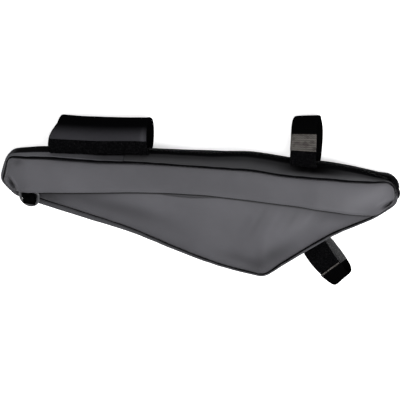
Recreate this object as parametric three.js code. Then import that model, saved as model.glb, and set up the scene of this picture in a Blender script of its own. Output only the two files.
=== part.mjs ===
// Bicycle frame bag: a long padded half-frame bag that lies on its back panel.
// Millimetres. +X runs from the nose to the rear end, +Y from the apex to the top tube side,
// +Z from the back panel to the front panel. The origin is the middle of the bottom of its box.
import * as THREE from 'three';
import { LoftGeometry } from 'three/addons/geometries/LoftGeometry.js';

// Body sizes
const BAG_LENGTH = 402;
const PANEL_HEIGHT = 105;
const BAG_DEPTH = 51;
const MIDDLE_HEIGHT = 26;
const PANEL_WALL = 1.6;
const GUSSET_WALL = 1.6;
const BAND_WALL = 1.2;
const SEAM_GAP = 0.3;
const PANEL_CROWN = 7;
const BACK_CROWN = 5;
const TOP_CROWN = 11.5;
const SIDE_BULGE = 7;
const BAND_LIFT = 7;

// Zip sizes
const TAPE_WIDTH = 9;
const TAPE_WALL = 1;
const COIL_WIDTH = 4.6;
const COIL_HEIGHT = 2;
const ZIP_START = 0.31;
const ZIP_END = 0.3;
const SLIDER_LENGTH = 11;
const SLIDER_WIDTH = 8;
const SLIDER_HEIGHT = 2.4;

// Strap sizes
const WRAP_WIDTH = 98;
const WRAP_PLACE = 0.248;
const WRAP_TAPER = 1.6;
const WRAP_HEIGHT = 29.8;
const WRAP_DEPTH = 35;
const WRAP_WALL = 1.8;
const WRAP_CORNER_CUT = 8;
const WEBBING_WIDTH = 25;
const WEBBING_WALL = 1.6;
const REAR_STRAP_PLACE = 0.761;
const REAR_STRAP_TAPER = -4;
const REAR_STRAP_HEIGHT = 40.5;
const REAR_STRAP_DEPTH = 36.5;
const SEAT_STRAP_PLACE = 0.64;
const SEAT_STRAP_LEAN = 11;
const SEAT_STRAP_HEIGHT = 40;
const SEAT_STRAP_DEPTH = 26;
const SEAT_STRAP_SKEW = 0.2;

// Ring sizes
const RING_RADIUS = 9.3;
const RING_WIRE = 2.5;
const RING_BAR_RISE = 5.5;
const RING_ALONG = 0.0714;
const RING_DOWN = 0.388;
const RING_DROOP = 0.2;
const TAB_WIDTH = 13;
const TAB_WALL = 1;
const TAB_LENGTH = 9;

// Corners of the seam line, clockwise from the front top one. Along is a share of the bag's
// length, down of the panel's height, radius of the panel's height, bulge of the side bulge.
const CORNERS = [
  { along: 0.012, down: 0.034, radius: 0.075, steps: 3, bulge: 0.65, power: 2.5 },
  { along: 0.992, down: 0.029, radius: 0.110, steps: 5, bulge: 0.02, power: 1.6 },
  { along: 0.997, down: 0.238, radius: 0.065, steps: 3, bulge: 0.2, power: 3 },
  { along: 0.658, down: 1.006, radius: 0.135, steps: 4, bulge: 0.4, power: 4 },
  { along: 0.032, down: 0.367, radius: 0.140, steps: 2, bulge: 0.9, power: 4 },
  { along: -0.002, down: 0.281, radius: 0.040, steps: 2, bulge: 0.6, power: 3 },
];

// The edge that follows each corner. Bows are [share of the edge, share of the panel's height
// outwards], where a negative bow pulls the edge in. Bulges are [share of the edge, share of the
// side bulge]. The top edge takes its bulge from the table of the top gusset instead.
const EDGES = [
  {
    steps: 30, power: null, bulges: null,
    bows: [[0.037, 0.012], [0.09, 0.030], [0.24, 0.040], [0.34, 0.065], [0.5, 0.078], [0.65, 0.083],
      [0.69, 0.067], [0.735, 0.050], [0.85, 0.035], [0.92, 0.014], [0.97, 0]],
  },
  { steps: 2, power: 2, bulges: [[0, 0.02], [1, 0.1]], bows: [] },
  {
    steps: 12, power: 4, bulges: [[0, 0.15], [0.25, 0.45], [0.5, 0.6], [0.85, 0.6], [1, 0.45]],
    bows: [[0.12, 0.009], [0.27, -0.023], [0.39, -0.048], [0.525, -0.053], [0.66, -0.041],
      [0.79, -0.026]],
  },
  {
    steps: 20, power: 4, bulges: [[0, 0.4], [0.25, 0.55], [0.65, 1], [1, 1.05]],
    bows: [[0.13, 0.010], [0.23, 0.008], [0.34, -0.006], [0.52, -0.037], [0.65, -0.031],
      [0.84, -0.016]],
  },
  { steps: 1, power: 4, bulges: [[0, 0.8], [1, 0.8]], bows: [] },
  { steps: 3, power: 3, bulges: [[0, 0.6], [1, 0.65]], bows: [] },
];

// Rise of the top gusset above its seams, with the waves of the closed zip. Along is a share of
// the bag's length, rise of the top crown, and power says how boxy the section is.
const TOP_RISE = [
  { along: 0.02, rise: 0.42, power: 2.5 },
  { along: 0.12, rise: 0.42, power: 2.5 },
  { along: 0.25, rise: 0.50, power: 2.2 },
  { along: 0.38, rise: 0.56, power: 1.5 },
  { along: 0.485, rise: 0.53, power: 1.4 },
  { along: 0.552, rise: 0.57, power: 1.4 },
  { along: 0.6, rise: 0.80, power: 1.4 },
  { along: 0.665, rise: 0.67, power: 1.4 },
  { along: 0.707, rise: 0.73, power: 1.4 },
  { along: 0.76, rise: 0.70, power: 1.4 },
  { along: 0.835, rise: 0.58, power: 1.4 },
  { along: 0.875, rise: 0.53, power: 1.4 },
  { along: 0.905, rise: 0.45, power: 1.4 },
  { along: 0.93, rise: 0.35, power: 1.5 },
  { along: 0.965, rise: 0.27, power: 1.5 },
  { along: 1.0, rise: 0.04, power: 1.6 },
];

// Depth between the two seam lines, as a share of the bag's depth, and the height of the middle
// plane between them, as a share of its greatest height.
const DEPTHS = [
  { along: 0.00, depth: 0.27, middle: 0.81 },
  { along: 0.02, depth: 0.41, middle: 0.83 },
  { along: 0.06, depth: 0.53, middle: 0.86 },
  { along: 0.125, depth: 0.59, middle: 0.90 },
  { along: 0.25, depth: 0.70, middle: 0.94 },
  { along: 0.375, depth: 0.82, middle: 0.97 },
  { along: 0.50, depth: 0.94, middle: 1.00 },
  { along: 0.60, depth: 1.00, middle: 1.00 },
  { along: 0.75, depth: 1.00, middle: 1.00 },
  { along: 0.805, depth: 0.97, middle: 1.00 },
  { along: 0.875, depth: 0.84, middle: 0.98 },
  { along: 0.925, depth: 0.65, middle: 0.95 },
  { along: 0.96, depth: 0.52, middle: 0.92 },
  { along: 0.985, depth: 0.40, middle: 0.88 },
  { along: 1.00, depth: 0.30, middle: 0.85 },
];

// Lower edge of the band below the top seam, as a share of the panel's height, and how far the
// edge lifts off the panel, as a share of the band's lift.
const BAND_EDGE = [
  { along: 0.000, down: 0.350, lift: 0.45 },
  { along: 0.065, down: 0.334, lift: 1.00 },
  { along: 0.120, down: 0.306, lift: 0.55 },
  { along: 0.250, down: 0.262, lift: 0.28 },
  { along: 0.340, down: 0.229, lift: 0.10 },
  { along: 0.430, down: 0.207, lift: 0.06 },
  { along: 0.520, down: 0.196, lift: 0.06 },
  { along: 0.620, down: 0.211, lift: 0.06 },
  { along: 0.705, down: 0.231, lift: 0.08 },
  { along: 0.760, down: 0.239, lift: 0.16 },
  { along: 0.860, down: 0.282, lift: 0.45 },
  { along: 0.940, down: 0.335, lift: 0.35 },
  { along: 1.000, down: 0.365, lift: 0.10 },
];

// Soft swells and dents of the front panel. Places and reach are shares of the bag's length and
// the panel's height, rise is a share of the panel's crown.
const FRONT_FOLDS = [
  { along: 0.70, down: 0.62, reachAlong: 0.07, reachDown: 0.30, rise: 0.28 },
  { along: 0.60, down: 0.86, reachAlong: 0.05, reachDown: 0.12, rise: -0.22 },
  { along: 0.35, down: 0.52, reachAlong: 0.06, reachDown: 0.12, rise: -0.20 },
  { along: 0.86, down: 0.40, reachAlong: 0.06, reachDown: 0.10, rise: -0.25 },
];

// One half of a strap's loop, from the foot to the top: side is a share of half the loop's depth,
// rise a share of its height.
const LOOP_SHAPE = [
  { side: 0.74, rise: 0.07 },
  { side: 0.93, rise: 0.28 },
  { side: 1.00, rise: 0.52 },
  { side: 0.93, rise: 0.77 },
  { side: 0.70, rise: 0.94 },
  { side: 0.34, rise: 1.00 },
];
const FOOT_INNER = 0.40;
const FOOT_OUTER = 0.62;
const FOOT_EASE = 0.6;

// Where each strap's layers end, as shares of its loop from the front foot to the back foot. The
// outer layer comes down onto the inner one between the two shares of the meeting.
const WRAP_ENDS = { base: 0.36, flap: 0.28 };
const REAR_STRAP_ENDS = { base: 0.34, flap: 0.205 };
const SEAT_STRAP_ENDS = { base: 0.36, flap: 0.3 };
const LAYERS_MEET = { from: 0.66, to: 0.92 };

// Fullness of the panels: where the swell starts at the nose and at the rear end, as shares of the
// bag's length, and how fast it rises from the seams.
const SWELL_NOSE = { from: -0.03, to: 0.16 };
const SWELL_REAR = { from: 1.02, reach: 0.13 };
const SWELL_POWER = 0.75;

// Linear reading of a table's column at a share of the length.
function readTable(rows, column, along) {
  if (along <= rows[0].along) return rows[0][column];
  for (let i = 1; i < rows.length; i += 1) {
    const low = rows[i - 1];
    const high = rows[i];
    if (along <= high.along) {
      const share = (along - low.along) / (high.along - low.along);
      return low[column] + (high[column] - low[column]) * share;
    }
  }
  return rows[rows.length - 1][column];
}

function valueAt(rows, share) {
  for (let i = 1; i < rows.length; i += 1) {
    if (share <= rows[i][0]) {
      const [from, low] = rows[i - 1];
      const [to, high] = rows[i];
      return low + (high - low) * (share - from) / (to - from);
    }
  }
  return 0;
}

// The seam line as a closed clockwise list of points, with round corners.
function seamLine() {
  const corners = CORNERS.map((row) => new THREE.Vector2(row.along * BAG_LENGTH, -row.down * PANEL_HEIGHT));
  const count = corners.length;
  const arcs = CORNERS.map((row, i) => {
    const corner = corners[i];
    const before = corners[(i + count - 1) % count];
    const after = corners[(i + 1) % count];
    const inward = corner.clone().sub(before).normalize();
    const onward = after.clone().sub(corner).normalize();
    const turn = Math.acos(THREE.MathUtils.clamp(inward.dot(onward), -1, 1));
    const radius = row.radius * PANEL_HEIGHT;
    const start = corner.clone().addScaledVector(inward, -radius * Math.tan(turn / 2));
    const centre = start.clone().add(new THREE.Vector2(inward.y, -inward.x).multiplyScalar(radius));
    const points = [];
    for (let k = 0; k <= row.steps; k += 1) {
      points.push(start.clone().rotateAround(centre, -turn * k / row.steps));
    }
    return points;
  });
  const line = [];
  for (let i = 0; i < count; i += 1) {
    for (const point of arcs[i]) {
      line.push({ point, bulge: CORNERS[i].bulge, power: CORNERS[i].power, top: false });
    }
    const from = arcs[i][arcs[i].length - 1];
    const to = arcs[(i + 1) % count][0];
    const out = new THREE.Vector2(-(to.y - from.y), to.x - from.x).normalize();
    const edge = EDGES[i];
    for (let k = 1; k < edge.steps; k += 1) {
      const share = k / edge.steps;
      const point = from.clone().lerp(to, share);
      point.addScaledVector(out, valueAt([[0, 0], ...edge.bows, [1, 0]], share) * PANEL_HEIGHT);
      const bulge = edge.bulges ? valueAt(edge.bulges, share) : 0;
      line.push({ point, bulge, power: edge.power, top: i === 0 });
    }
  }
  return line;
}

// Average of each value with its neighbours round a closed list.
function softened(values) {
  const count = values.length;
  const beside = (i) => values[(i + count - 1) % count] + values[(i + 1) % count];
  return values.map((value, i) => (2 * value + beside(i)) / 4);
}

// Stations round the seam line: place, outward normal, length so far, depth and gusset section.
function makeStations() {
  const line = seamLine();
  const count = line.length;
  const topCrown = (along) => readTable(TOP_RISE, 'rise', along) * TOP_CROWN;
  let bulges = line.map((item) => (item.top
    ? topCrown(item.point.x / BAG_LENGTH)
    : item.bulge * SIDE_BULGE));
  let powers = line.map((item) => (item.top
    ? readTable(TOP_RISE, 'power', item.point.x / BAG_LENGTH)
    : item.power));
  bulges = softened(bulges);
  powers = softened(softened(powers));
  let length = 0;
  return line.map((item, i) => {
    const before = line[(i + count - 1) % count].point;
    const after = line[(i + 1) % count].point;
    if (i > 0) length += item.point.distanceTo(line[i - 1].point);
    const normal = new THREE.Vector2(-(after.y - before.y), after.x - before.x).normalize();
    const along = item.point.x / BAG_LENGTH;
    return {
      x: item.point.x,
      y: item.point.y,
      nx: normal.x,
      ny: normal.y,
      length,
      bulge: bulges[i],
      power: powers[i],
      depth: readTable(DEPTHS, 'depth', along) * BAG_DEPTH,
      middle: readTable(DEPTHS, 'middle', along) * MIDDLE_HEIGHT,
    };
  });
}

const STATIONS = makeStations();

// Number of the station where an edge starts, which is the end of its corner's arc.
function edgeStart(edge) {
  let index = CORNERS[edge].steps;
  for (let i = 0; i < edge; i += 1) index += CORNERS[i].steps + EDGES[i].steps;
  return index;
}

// Length along the seam line at a share of an edge.
function edgeLengthAt(edge, share) {
  const from = STATIONS[edgeStart(edge)].length;
  const to = STATIONS[edgeStart(edge) + EDGES[edge].steps].length;
  return from + (to - from) * share;
}

const TOP_FIRST = edgeStart(0);
const TOP_LAST = TOP_FIRST + EDGES[0].steps;

function mixStations(low, high, share) {
  const mixed = {};
  for (const key of Object.keys(low)) mixed[key] = low[key] + (high[key] - low[key]) * share;
  return mixed;
}

// The station at a length along the seam line.
function stationAtLength(length) {
  for (let i = 1; i < STATIONS.length; i += 1) {
    if (length <= STATIONS[i].length) {
      const low = STATIONS[i - 1];
      const share = (length - low.length) / (STATIONS[i].length - low.length);
      return mixStations(low, STATIONS[i], share);
    }
  }
  return STATIONS[STATIONS.length - 1];
}

// The length along the seam line where the top edge reaches a place along the bag.
function topLengthAt(x) {
  for (let i = TOP_FIRST; i < TOP_LAST; i += 1) {
    const low = STATIONS[i];
    const high = STATIONS[i + 1];
    if (x <= high.x) return low.length + (high.length - low.length) * (x - low.x) / (high.x - low.x);
  }
  return STATIONS[TOP_LAST].length;
}

// Highest and lowest seam point at a place along the bag.
function acrossAt(x) {
  let top = -Infinity;
  let low = Infinity;
  for (let i = 0; i < STATIONS.length; i += 1) {
    const a = STATIONS[i];
    const b = STATIONS[(i + 1) % STATIONS.length];
    if ((a.x - x) * (b.x - x) <= 0 && a.x !== b.x) {
      const y = a.y + (b.y - a.y) * (x - a.x) / (b.x - a.x);
      top = Math.max(top, y);
      low = Math.min(low, y);
    }
  }
  return { top, low };
}

// How far a panel has swelled between its seams, from 0 on them to 1 in the middle.
function swellAt(x, y) {
  const { top, low } = acrossAt(x);
  if (!(top > low)) return 0;
  const share = THREE.MathUtils.clamp((y - low) / (top - low), 0, 1);
  const along = x / BAG_LENGTH;
  const nose = THREE.MathUtils.smoothstep(along, SWELL_NOSE.from, SWELL_NOSE.to);
  const rear = THREE.MathUtils.smoothstep(SWELL_REAR.from - along, 0, SWELL_REAR.reach);
  return Math.pow(4 * share * (1 - share), SWELL_POWER) * nose * rear;
}

function foldAt(x, y) {
  let rise = 0;
  for (const fold of FRONT_FOLDS) {
    const dx = (x / BAG_LENGTH - fold.along) / fold.reachAlong;
    const dy = (-y / PANEL_HEIGHT - fold.down) / fold.reachDown;
    rise += fold.rise * Math.exp(-(dx * dx + dy * dy));
  }
  return rise;
}

function seamDepths(x) {
  const along = x / BAG_LENGTH;
  const half = readTable(DEPTHS, 'depth', along) * BAG_DEPTH / 2;
  const middle = readTable(DEPTHS, 'middle', along) * MIDDLE_HEIGHT;
  return { front: middle + half, back: middle - half };
}

// Outer face of the front panel.
function frontFace(x, y) {
  const swell = swellAt(x, y);
  return seamDepths(x).front + PANEL_CROWN * swell * (1 + foldAt(x, y));
}

// Outer face of the back panel, flattened by what the bag lies on.
function backFace(x, y) {
  return Math.max(0, seamDepths(x).back - BACK_CROWN * swellAt(x, y));
}

// Triangles that close a section, in the section's own turning direction.
function capFaces(section) {
  const count = section.length;
  const normal = new THREE.Vector3();
  for (let i = 0; i < count; i += 1) {
    const p = section[i];
    const q = section[(i + 1) % count];
    normal.x += (p.y - q.y) * (p.z + q.z);
    normal.y += (p.z - q.z) * (p.x + q.x);
    normal.z += (p.x - q.x) * (p.y + q.y);
  }
  normal.normalize();
  const first = new THREE.Vector3(1, 0, 0);
  if (Math.abs(normal.x) > 0.9) first.set(0, 1, 0);
  const second = new THREE.Vector3().crossVectors(normal, first).normalize();
  first.crossVectors(second, normal);
  const flat = section.map((point) => new THREE.Vector2(point.dot(first), point.dot(second)));
  return THREE.ShapeUtils.triangulateShape(flat, []);
}

// Triangles that close a long flat ring, worked from its low end along both sides at once.
function ringFaces(section) {
  const count = section.length;
  const places = section.map((point) => point.x);
  const faces = [];
  let forward = places.indexOf(Math.min(...places));
  let backward = (forward + count - 1) % count;
  for (let k = 0; k < count - 2; k += 1) {
    const ahead = (forward + 1) % count;
    const behind = (backward + count - 1) % count;
    if (places[ahead] <= places[behind]) {
      faces.push([forward, ahead, backward]);
      forward = ahead;
    } else {
      faces.push([behind, backward, forward]);
      backward = behind;
    }
  }
  return faces;
}

// A geometry lofted through closed sections, capped unless it is a loop, with its faces outwards.
function loft(sections, { loop = false, cap = capFaces } = {}) {
  const geometry = new LoftGeometry(sections);
  const faces = Array.from(geometry.getIndex().array);
  if (!loop) {
    const last = (sections.length - 1) * (sections[0].length + 1);
    for (const [a, b, c] of cap(sections[0])) faces.push(a, c, b);
    for (const [a, b, c] of cap(sections[sections.length - 1])) faces.push(last + a, last + b, last + c);
  }
  const position = geometry.getAttribute('position');
  const corners = [new THREE.Vector3(), new THREE.Vector3(), new THREE.Vector3()];
  let volume = 0;
  for (let i = 0; i < faces.length; i += 3) {
    corners.forEach((corner, k) => corner.fromBufferAttribute(position, faces[i + k]));
    volume += corners[0].dot(corners[1].cross(corners[2]));
  }
  if (volume < 0) {
    for (let i = 0; i < faces.length; i += 3) [faces[i + 1], faces[i + 2]] = [faces[i + 2], faces[i + 1]];
  }
  geometry.setIndex(faces);
  return geometry;
}

// A panel: rings from its middle line out to the seam on the inside and back on the outside.
const OUTER_RINGS = [0, 0.05, 0.16, 0.36, 0.62, 0.93];
const INNER_RINGS = [0.93, 0.5, 0.14, 0];
const MIDDLE_LINE = { from: 0.045, to: 0.965 };

function panelGeometry(face, inwards) {
  const ring = (share, offset) => STATIONS.map((station) => {
    const rimX = station.x - station.nx * SEAM_GAP / 2;
    const rimY = station.y - station.ny * SEAM_GAP / 2;
    const middleX = THREE.MathUtils.clamp(rimX, MIDDLE_LINE.from * BAG_LENGTH, MIDDLE_LINE.to * BAG_LENGTH);
    const across = acrossAt(middleX);
    const middleY = (across.top + across.low) / 2;
    const x = rimX + (middleX - rimX) * share;
    const y = rimY + (middleY - rimY) * share;
    return new THREE.Vector3(x, y, face(x, y) + offset);
  });
  const inner = INNER_RINGS.map((share) => ring(share, inwards * PANEL_WALL));
  const outer = OUTER_RINGS.map((share) => ring(share, 0));
  return loft([...inner, ...outer], { cap: ringFaces });
}

// How far the gusset's section has risen at a share from front to back, from 0 to 1.
function sectionRise(station, share) {
  const side = Math.abs(2 * share - 1);
  return Math.pow(Math.max(0, 1 - Math.pow(side, station.power)), 1 / station.power);
}

// Section of the gusset at a station: outward offset and height, by a share from front to back.
function gussetOuter(station, share) {
  return {
    out: SEAM_GAP / 2 + station.bulge * sectionRise(station, share),
    z: station.middle + station.depth / 2 * (1 - 2 * share),
  };
}

function gussetInner(station, share, wall) {
  return {
    out: SEAM_GAP / 2 + (station.bulge - wall) * sectionRise(station, share),
    z: station.middle + (station.depth / 2 - PANEL_WALL - SEAM_GAP) * (1 - 2 * share),
  };
}

function placed(station, section) {
  return new THREE.Vector3(
    station.x + station.nx * section.out,
    station.y + station.ny * section.out,
    section.z,
  );
}

// A stretch of gusset between two shares of its section, which may follow each station.
function gussetStretch(stations, shares, wall, drop = 0) {
  return loft(stations.map((station) => {
    const row = shares(station);
    const lowered = { ...station, bulge: station.bulge - drop };
    const outer = row.map((share) => placed(lowered, gussetOuter(lowered, share)));
    const inner = row.map((share) => placed(lowered, gussetInner(lowered, share, wall))).reverse();
    return [...outer, ...inner];
  }));
}

// Stations between two lengths along the seam line, with exact ends.
function stationsBetween(from, to) {
  const inside = STATIONS.filter((station) => station.length > from + 1 && station.length < to - 1);
  return [stationAtLength(from), ...inside, stationAtLength(to)];
}

const ZIP_FROM = topLengthAt(ZIP_START * BAG_LENGTH);
const ZIP_TO = edgeLengthAt(1, ZIP_END);

// The middle of the plain gusset is flat, where the bicycle's tubes lie on it.
const FLAT_FROM = 0.25;
const GUSSET_SHARES = [0, 0.03, 0.1, FLAT_FROM, 1 - FLAT_FROM, 0.9, 0.97, 1];
const STRIP_REACH = [0, 0.05, 0.2, 0.5, 1];

// The plain gusset runs from the zip's rear end round both lower edges and the nose.
function lowerGusset() {
  const rest = STATIONS.filter((station) => station.length > ZIP_TO + 1);
  const start = STATIONS.filter((station) => station.length < ZIP_FROM - 1);
  const first = stationAtLength(ZIP_TO + SEAM_GAP);
  const last = stationAtLength(ZIP_FROM - SEAM_GAP);
  return gussetStretch([first, ...rest, ...start, last], () => GUSSET_SHARES, GUSSET_WALL);
}

function stripGeometry(front) {
  const shares = (station) => {
    const edge = 0.5 - (TAPE_WIDTH / 2 + SEAM_GAP) / station.depth;
    return front
      ? STRIP_REACH.map((part) => edge * part)
      : STRIP_REACH.map((part) => 1 - edge * part).reverse();
  };
  return gussetStretch(stationsBetween(ZIP_FROM, ZIP_TO), shares, GUSSET_WALL);
}

function zipTape() {
  const shares = (station) => {
    const half = TAPE_WIDTH / 2 / station.depth;
    return [0.5 - half, 0.5, 0.5 + half];
  };
  const drop = GUSSET_WALL - TAPE_WALL;
  return gussetStretch(stationsBetween(ZIP_FROM, ZIP_TO), shares, TAPE_WALL, drop / 2);
}

// Section of the closed coil: side is a share of its width, rise a share of its height.
const COIL_SECTION = [
  { side: -0.5, rise: 0 },
  { side: -0.42, rise: 0.55 },
  { side: -0.18, rise: 0.95 },
  { side: 0.18, rise: 0.95 },
  { side: 0.42, rise: 0.55 },
  { side: 0.5, rise: 0 },
];

// A low round bar along the middle of the tape.
function zipCoil() {
  return loft(stationsBetween(ZIP_FROM, ZIP_TO).map((station) => COIL_SECTION.map((row) => placed(station, {
    out: SEAM_GAP / 2 + station.bulge + SEAM_GAP + row.rise * COIL_HEIGHT,
    z: station.middle + row.side * COIL_WIDTH,
  }))));
}

// Outline of the slider: along is a share of its length, half a share of half its width.
const SLIDER_OUTLINE = [
  { along: 0, half: 1 },
  { along: 0.25, half: 1.05 },
  { along: 0.75, half: 0.8 },
  { along: 1, half: 0.6 },
];
const SLIDER_FROM_START = 0.6;
const SLIDER_TOP = 0.8;

function zipSlider() {
  const place = ZIP_FROM + SLIDER_LENGTH * SLIDER_FROM_START;
  return loft(SLIDER_OUTLINE.map((row) => {
    const station = stationAtLength(place + row.along * SLIDER_LENGTH);
    const half = SLIDER_WIDTH / 2 * row.half;
    const base = SEAM_GAP / 2 + station.bulge + SEAM_GAP * 2 + COIL_HEIGHT;
    const low = [-half, half].map((side) => placed(station, { out: base, z: station.middle + side }));
    const high = [half, -half].map((side) => placed(station, {
      out: base + SLIDER_HEIGHT,
      z: station.middle + side * SLIDER_TOP,
    }));
    return [...low, ...high];
  }));
}

// The band over the top of the front panel, tip to tip.
const BAND_INSET = 1.2;
const BAND_EASE = 0.35;
const BAND_LIFT_POWER = 1.3;
const BAND_NOSE_PLACES = [0.006, 0.012, 0.022, 0.035, 0.05];
const BAND_REAR_PLACES = [0.955, 0.97, 0.983, 0.991];
const BAND_STEPS = 26;
const BAND_ROWS = [0, 0.12, 0.35, 0.6, 0.82, 1];

function bandLow(x) {
  return -readTable(BAND_EDGE, 'down', x / BAG_LENGTH) * PANEL_HEIGHT;
}

function bandFace(x, y) {
  const { top } = acrossAt(x);
  const span = top - bandLow(x);
  const share = THREE.MathUtils.clamp((top - y) / span, 0, 1);
  const lift = readTable(BAND_EDGE, 'lift', x / BAG_LENGTH) * BAND_LIFT;
  return frontFace(x, y) + SEAM_GAP + BAND_EASE + lift * Math.pow(share, BAND_LIFT_POWER);
}

function bandGeometry() {
  const from = BAND_NOSE_PLACES[BAND_NOSE_PLACES.length - 1];
  const reach = BAND_REAR_PLACES[0] - from;
  const between = [];
  for (let i = 1; i < BAND_STEPS; i += 1) between.push(from + reach * i / BAND_STEPS);
  return loft([...BAND_NOSE_PLACES, ...between, ...BAND_REAR_PLACES].map((along) => {
    const x = along * BAG_LENGTH;
    const across = acrossAt(x);
    const top = across.top - BAND_INSET;
    const low = Math.max(bandLow(x), across.low + BAND_INSET);
    const ys = BAND_ROWS.map((share) => top + (low - top) * share);
    const outer = ys.map((y) => new THREE.Vector3(x, y, bandFace(x, y) + BAND_WALL));
    const inner = ys.map((y) => new THREE.Vector3(x, y, bandFace(x, y))).reverse();
    return [...outer, ...inner];
  }));
}

// A strap's loop: one curve for each place across its width, from the front foot to the back foot.
function loopCurve(station, size, wall, across) {
  const half = size.depth / 2;
  const seat = (side) => {
    const share = 0.5 - side * half / station.depth;
    return gussetOuter(station, share).out + SEAM_GAP + wall * FOOT_EASE;
  };
  const crown = gussetOuter(station, 0.5).out;
  const foot = [FOOT_INNER, FOOT_OUTER].map((side) => [side * half, seat(side)]);
  const height = size.height - size.taper * (across - 0.5);
  const wallPoints = LOOP_SHAPE.map((row) => [row.side * half, crown + row.rise * height]);
  const front = [...foot, ...wallPoints];
  const back = front.map(([side, rise]) => [-side, rise]).reverse();
  const points = [...front, ...back].map(([side, rise]) => new THREE.Vector3(side, rise, 0));
  return new THREE.CatmullRomCurve3(points, false, 'centripetal');
}

// A band of webbing along part of a loop. Offset and shift follow the place on the loop.
function strapGeometry(size, wall, span, offset, shift) {
  const centre = stationAtLength(size.place);
  const out = new THREE.Vector2(centre.nx, centre.ny);
  const along = new THREE.Vector2(out.y, -out.x);
  const curves = size.across.map((share) => {
    const station = stationAtLength(size.place + (share - 0.5) * size.width);
    return { station, share, curve: loopCurve(station, size, wall, share) };
  });
  const sections = [];
  for (let k = 0; k <= span.steps; k += 1) {
    const t = span.from + (span.to - span.from) * k / span.steps;
    const faces = [-wall / 2, wall / 2].map((skin) => curves.map(({ station, share, curve }) => {
      const point = curve.getPoint(t);
      const tangent = curve.getTangent(t);
      const rise = THREE.MathUtils.clamp((point.y - station.bulge) / size.height, 0, 1);
      const push = skin + offset(t);
      const side = point.x + tangent.y * push;
      const reach = point.y - tangent.x * push;
      const moved = shift(share, rise);
      return new THREE.Vector3(
        station.x + out.x * (reach + moved.out) + along.x * moved.along,
        station.y + out.y * (reach + moved.out) + along.y * moved.along,
        station.middle + side,
      );
    }));
    sections.push([...faces[0], ...faces[1].reverse()]);
  }
  return loft(sections);
}

const ACROSS_NARROW = [0, 1];
const ACROSS_WIDE = [0, 0.25, 0.5, 0.75, 1];

const WRAP = {
  place: topLengthAt(WRAP_PLACE * BAG_LENGTH),
  width: WRAP_WIDTH,
  height: WRAP_HEIGHT,
  taper: WRAP_TAPER,
  depth: WRAP_DEPTH,
  across: ACROSS_WIDE,
};

const REAR_STRAP = {
  place: topLengthAt(REAR_STRAP_PLACE * BAG_LENGTH),
  width: WEBBING_WIDTH,
  height: REAR_STRAP_HEIGHT,
  taper: REAR_STRAP_TAPER,
  depth: REAR_STRAP_DEPTH,
  across: ACROSS_NARROW,
};

const SEAT_STRAP = {
  place: edgeLengthAt(2, SEAT_STRAP_PLACE),
  width: WEBBING_WIDTH,
  height: SEAT_STRAP_HEIGHT,
  taper: 0,
  depth: SEAT_STRAP_DEPTH,
  across: ACROSS_NARROW,
};

const still = () => ({ along: 0, out: 0 });
const cutCorner = (share, rise) => ({ along: WRAP_CORNER_CUT * (1 - share) * rise * rise, out: 0 });
const skewed = (share, rise) => ({
  along: -SEAT_STRAP_LEAN * rise * rise,
  out: SEAT_STRAP_SKEW * WEBBING_WIDTH * (share - 0.5) * rise,
});

// The inner layer, from the front foot up the front wall.
function strapBase(size, wall, end, shift) {
  return strapGeometry(size, wall, { from: 0, to: end, steps: 9 }, () => 0, shift);
}

// The outer layer, from the back foot over the top and down in front of the inner layer.
function strapFlap(size, wall, end, shift) {
  const over = (t) => (wall + SEAM_GAP)
    * (1 - THREE.MathUtils.smoothstep(t, LAYERS_MEET.from, LAYERS_MEET.to));
  return strapGeometry(size, wall, { from: 1, to: end, steps: 22 }, over, shift);
}

const RING_X = RING_ALONG * BAG_LENGTH;
const RING_Y = -RING_DOWN * PANEL_HEIGHT;
const BAR_Y = RING_Y + RING_BAR_RISE;
const TAB_EASE = 0.2;
const TAB_SPREAD = 1.7;
const TAB_NEAR = 0.3;
const BAR_OVER_PANEL = SEAM_GAP * 2 + TAB_WALL + RING_WIRE / 2 + TAB_EASE;
const RING_SIDES = 8;
const RING_BEND_STEPS = 12;
const RING_CORNER = 0.8;
const RING_NICK = 0.3;
const TAB_BEND_STEPS = 8;

// Height of the ring's middle plane, which follows the panel's slope and droops at its free side.
function ringHeight(x, y) {
  const reach = RING_RADIUS;
  const slope = (frontFace(RING_X + reach, BAR_Y) - frontFace(RING_X - reach, BAR_Y)) / (2 * reach);
  return frontFace(RING_X, BAR_Y) + BAR_OVER_PANEL + slope * (x - RING_X) - RING_DROOP * (BAR_Y - y);
}

// The D ring: a straight bar, two short sides and half a circle.
function strapRing() {
  const corner = RING_WIRE * RING_CORNER;
  const nick = corner * RING_NICK;
  const side = RING_RADIUS;
  const bar = RING_BAR_RISE;
  const path = [[-side + corner, bar], [0, bar], [side - corner, bar], [side - nick, bar - nick]];
  path.push([side, bar - corner]);
  for (let k = 0; k <= RING_BEND_STEPS; k += 1) {
    const angle = -Math.PI * k / RING_BEND_STEPS;
    path.push([side * Math.cos(angle), side * Math.sin(angle)]);
  }
  path.push([-side, bar - corner], [-side + nick, bar - nick]);
  const count = path.length;
  const sections = path.map(([x, y], i) => {
    const before = path[(i + count - 1) % count];
    const after = path[(i + 1) % count];
    const tangent = new THREE.Vector2(after[0] - before[0], after[1] - before[1]).normalize();
    const section = [];
    for (let k = 0; k < RING_SIDES; k += 1) {
      const angle = 2 * Math.PI * (k + 0.5) / RING_SIDES;
      const across = Math.cos(angle) * RING_WIRE / 2;
      const px = RING_X + x + tangent.y * across;
      const py = RING_Y + y - tangent.x * across;
      section.push(new THREE.Vector3(px, py, ringHeight(px, py) + Math.sin(angle) * RING_WIRE / 2));
    }
    return section;
  });
  return loft([...sections, sections[0]], { loop: true });
}

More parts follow.
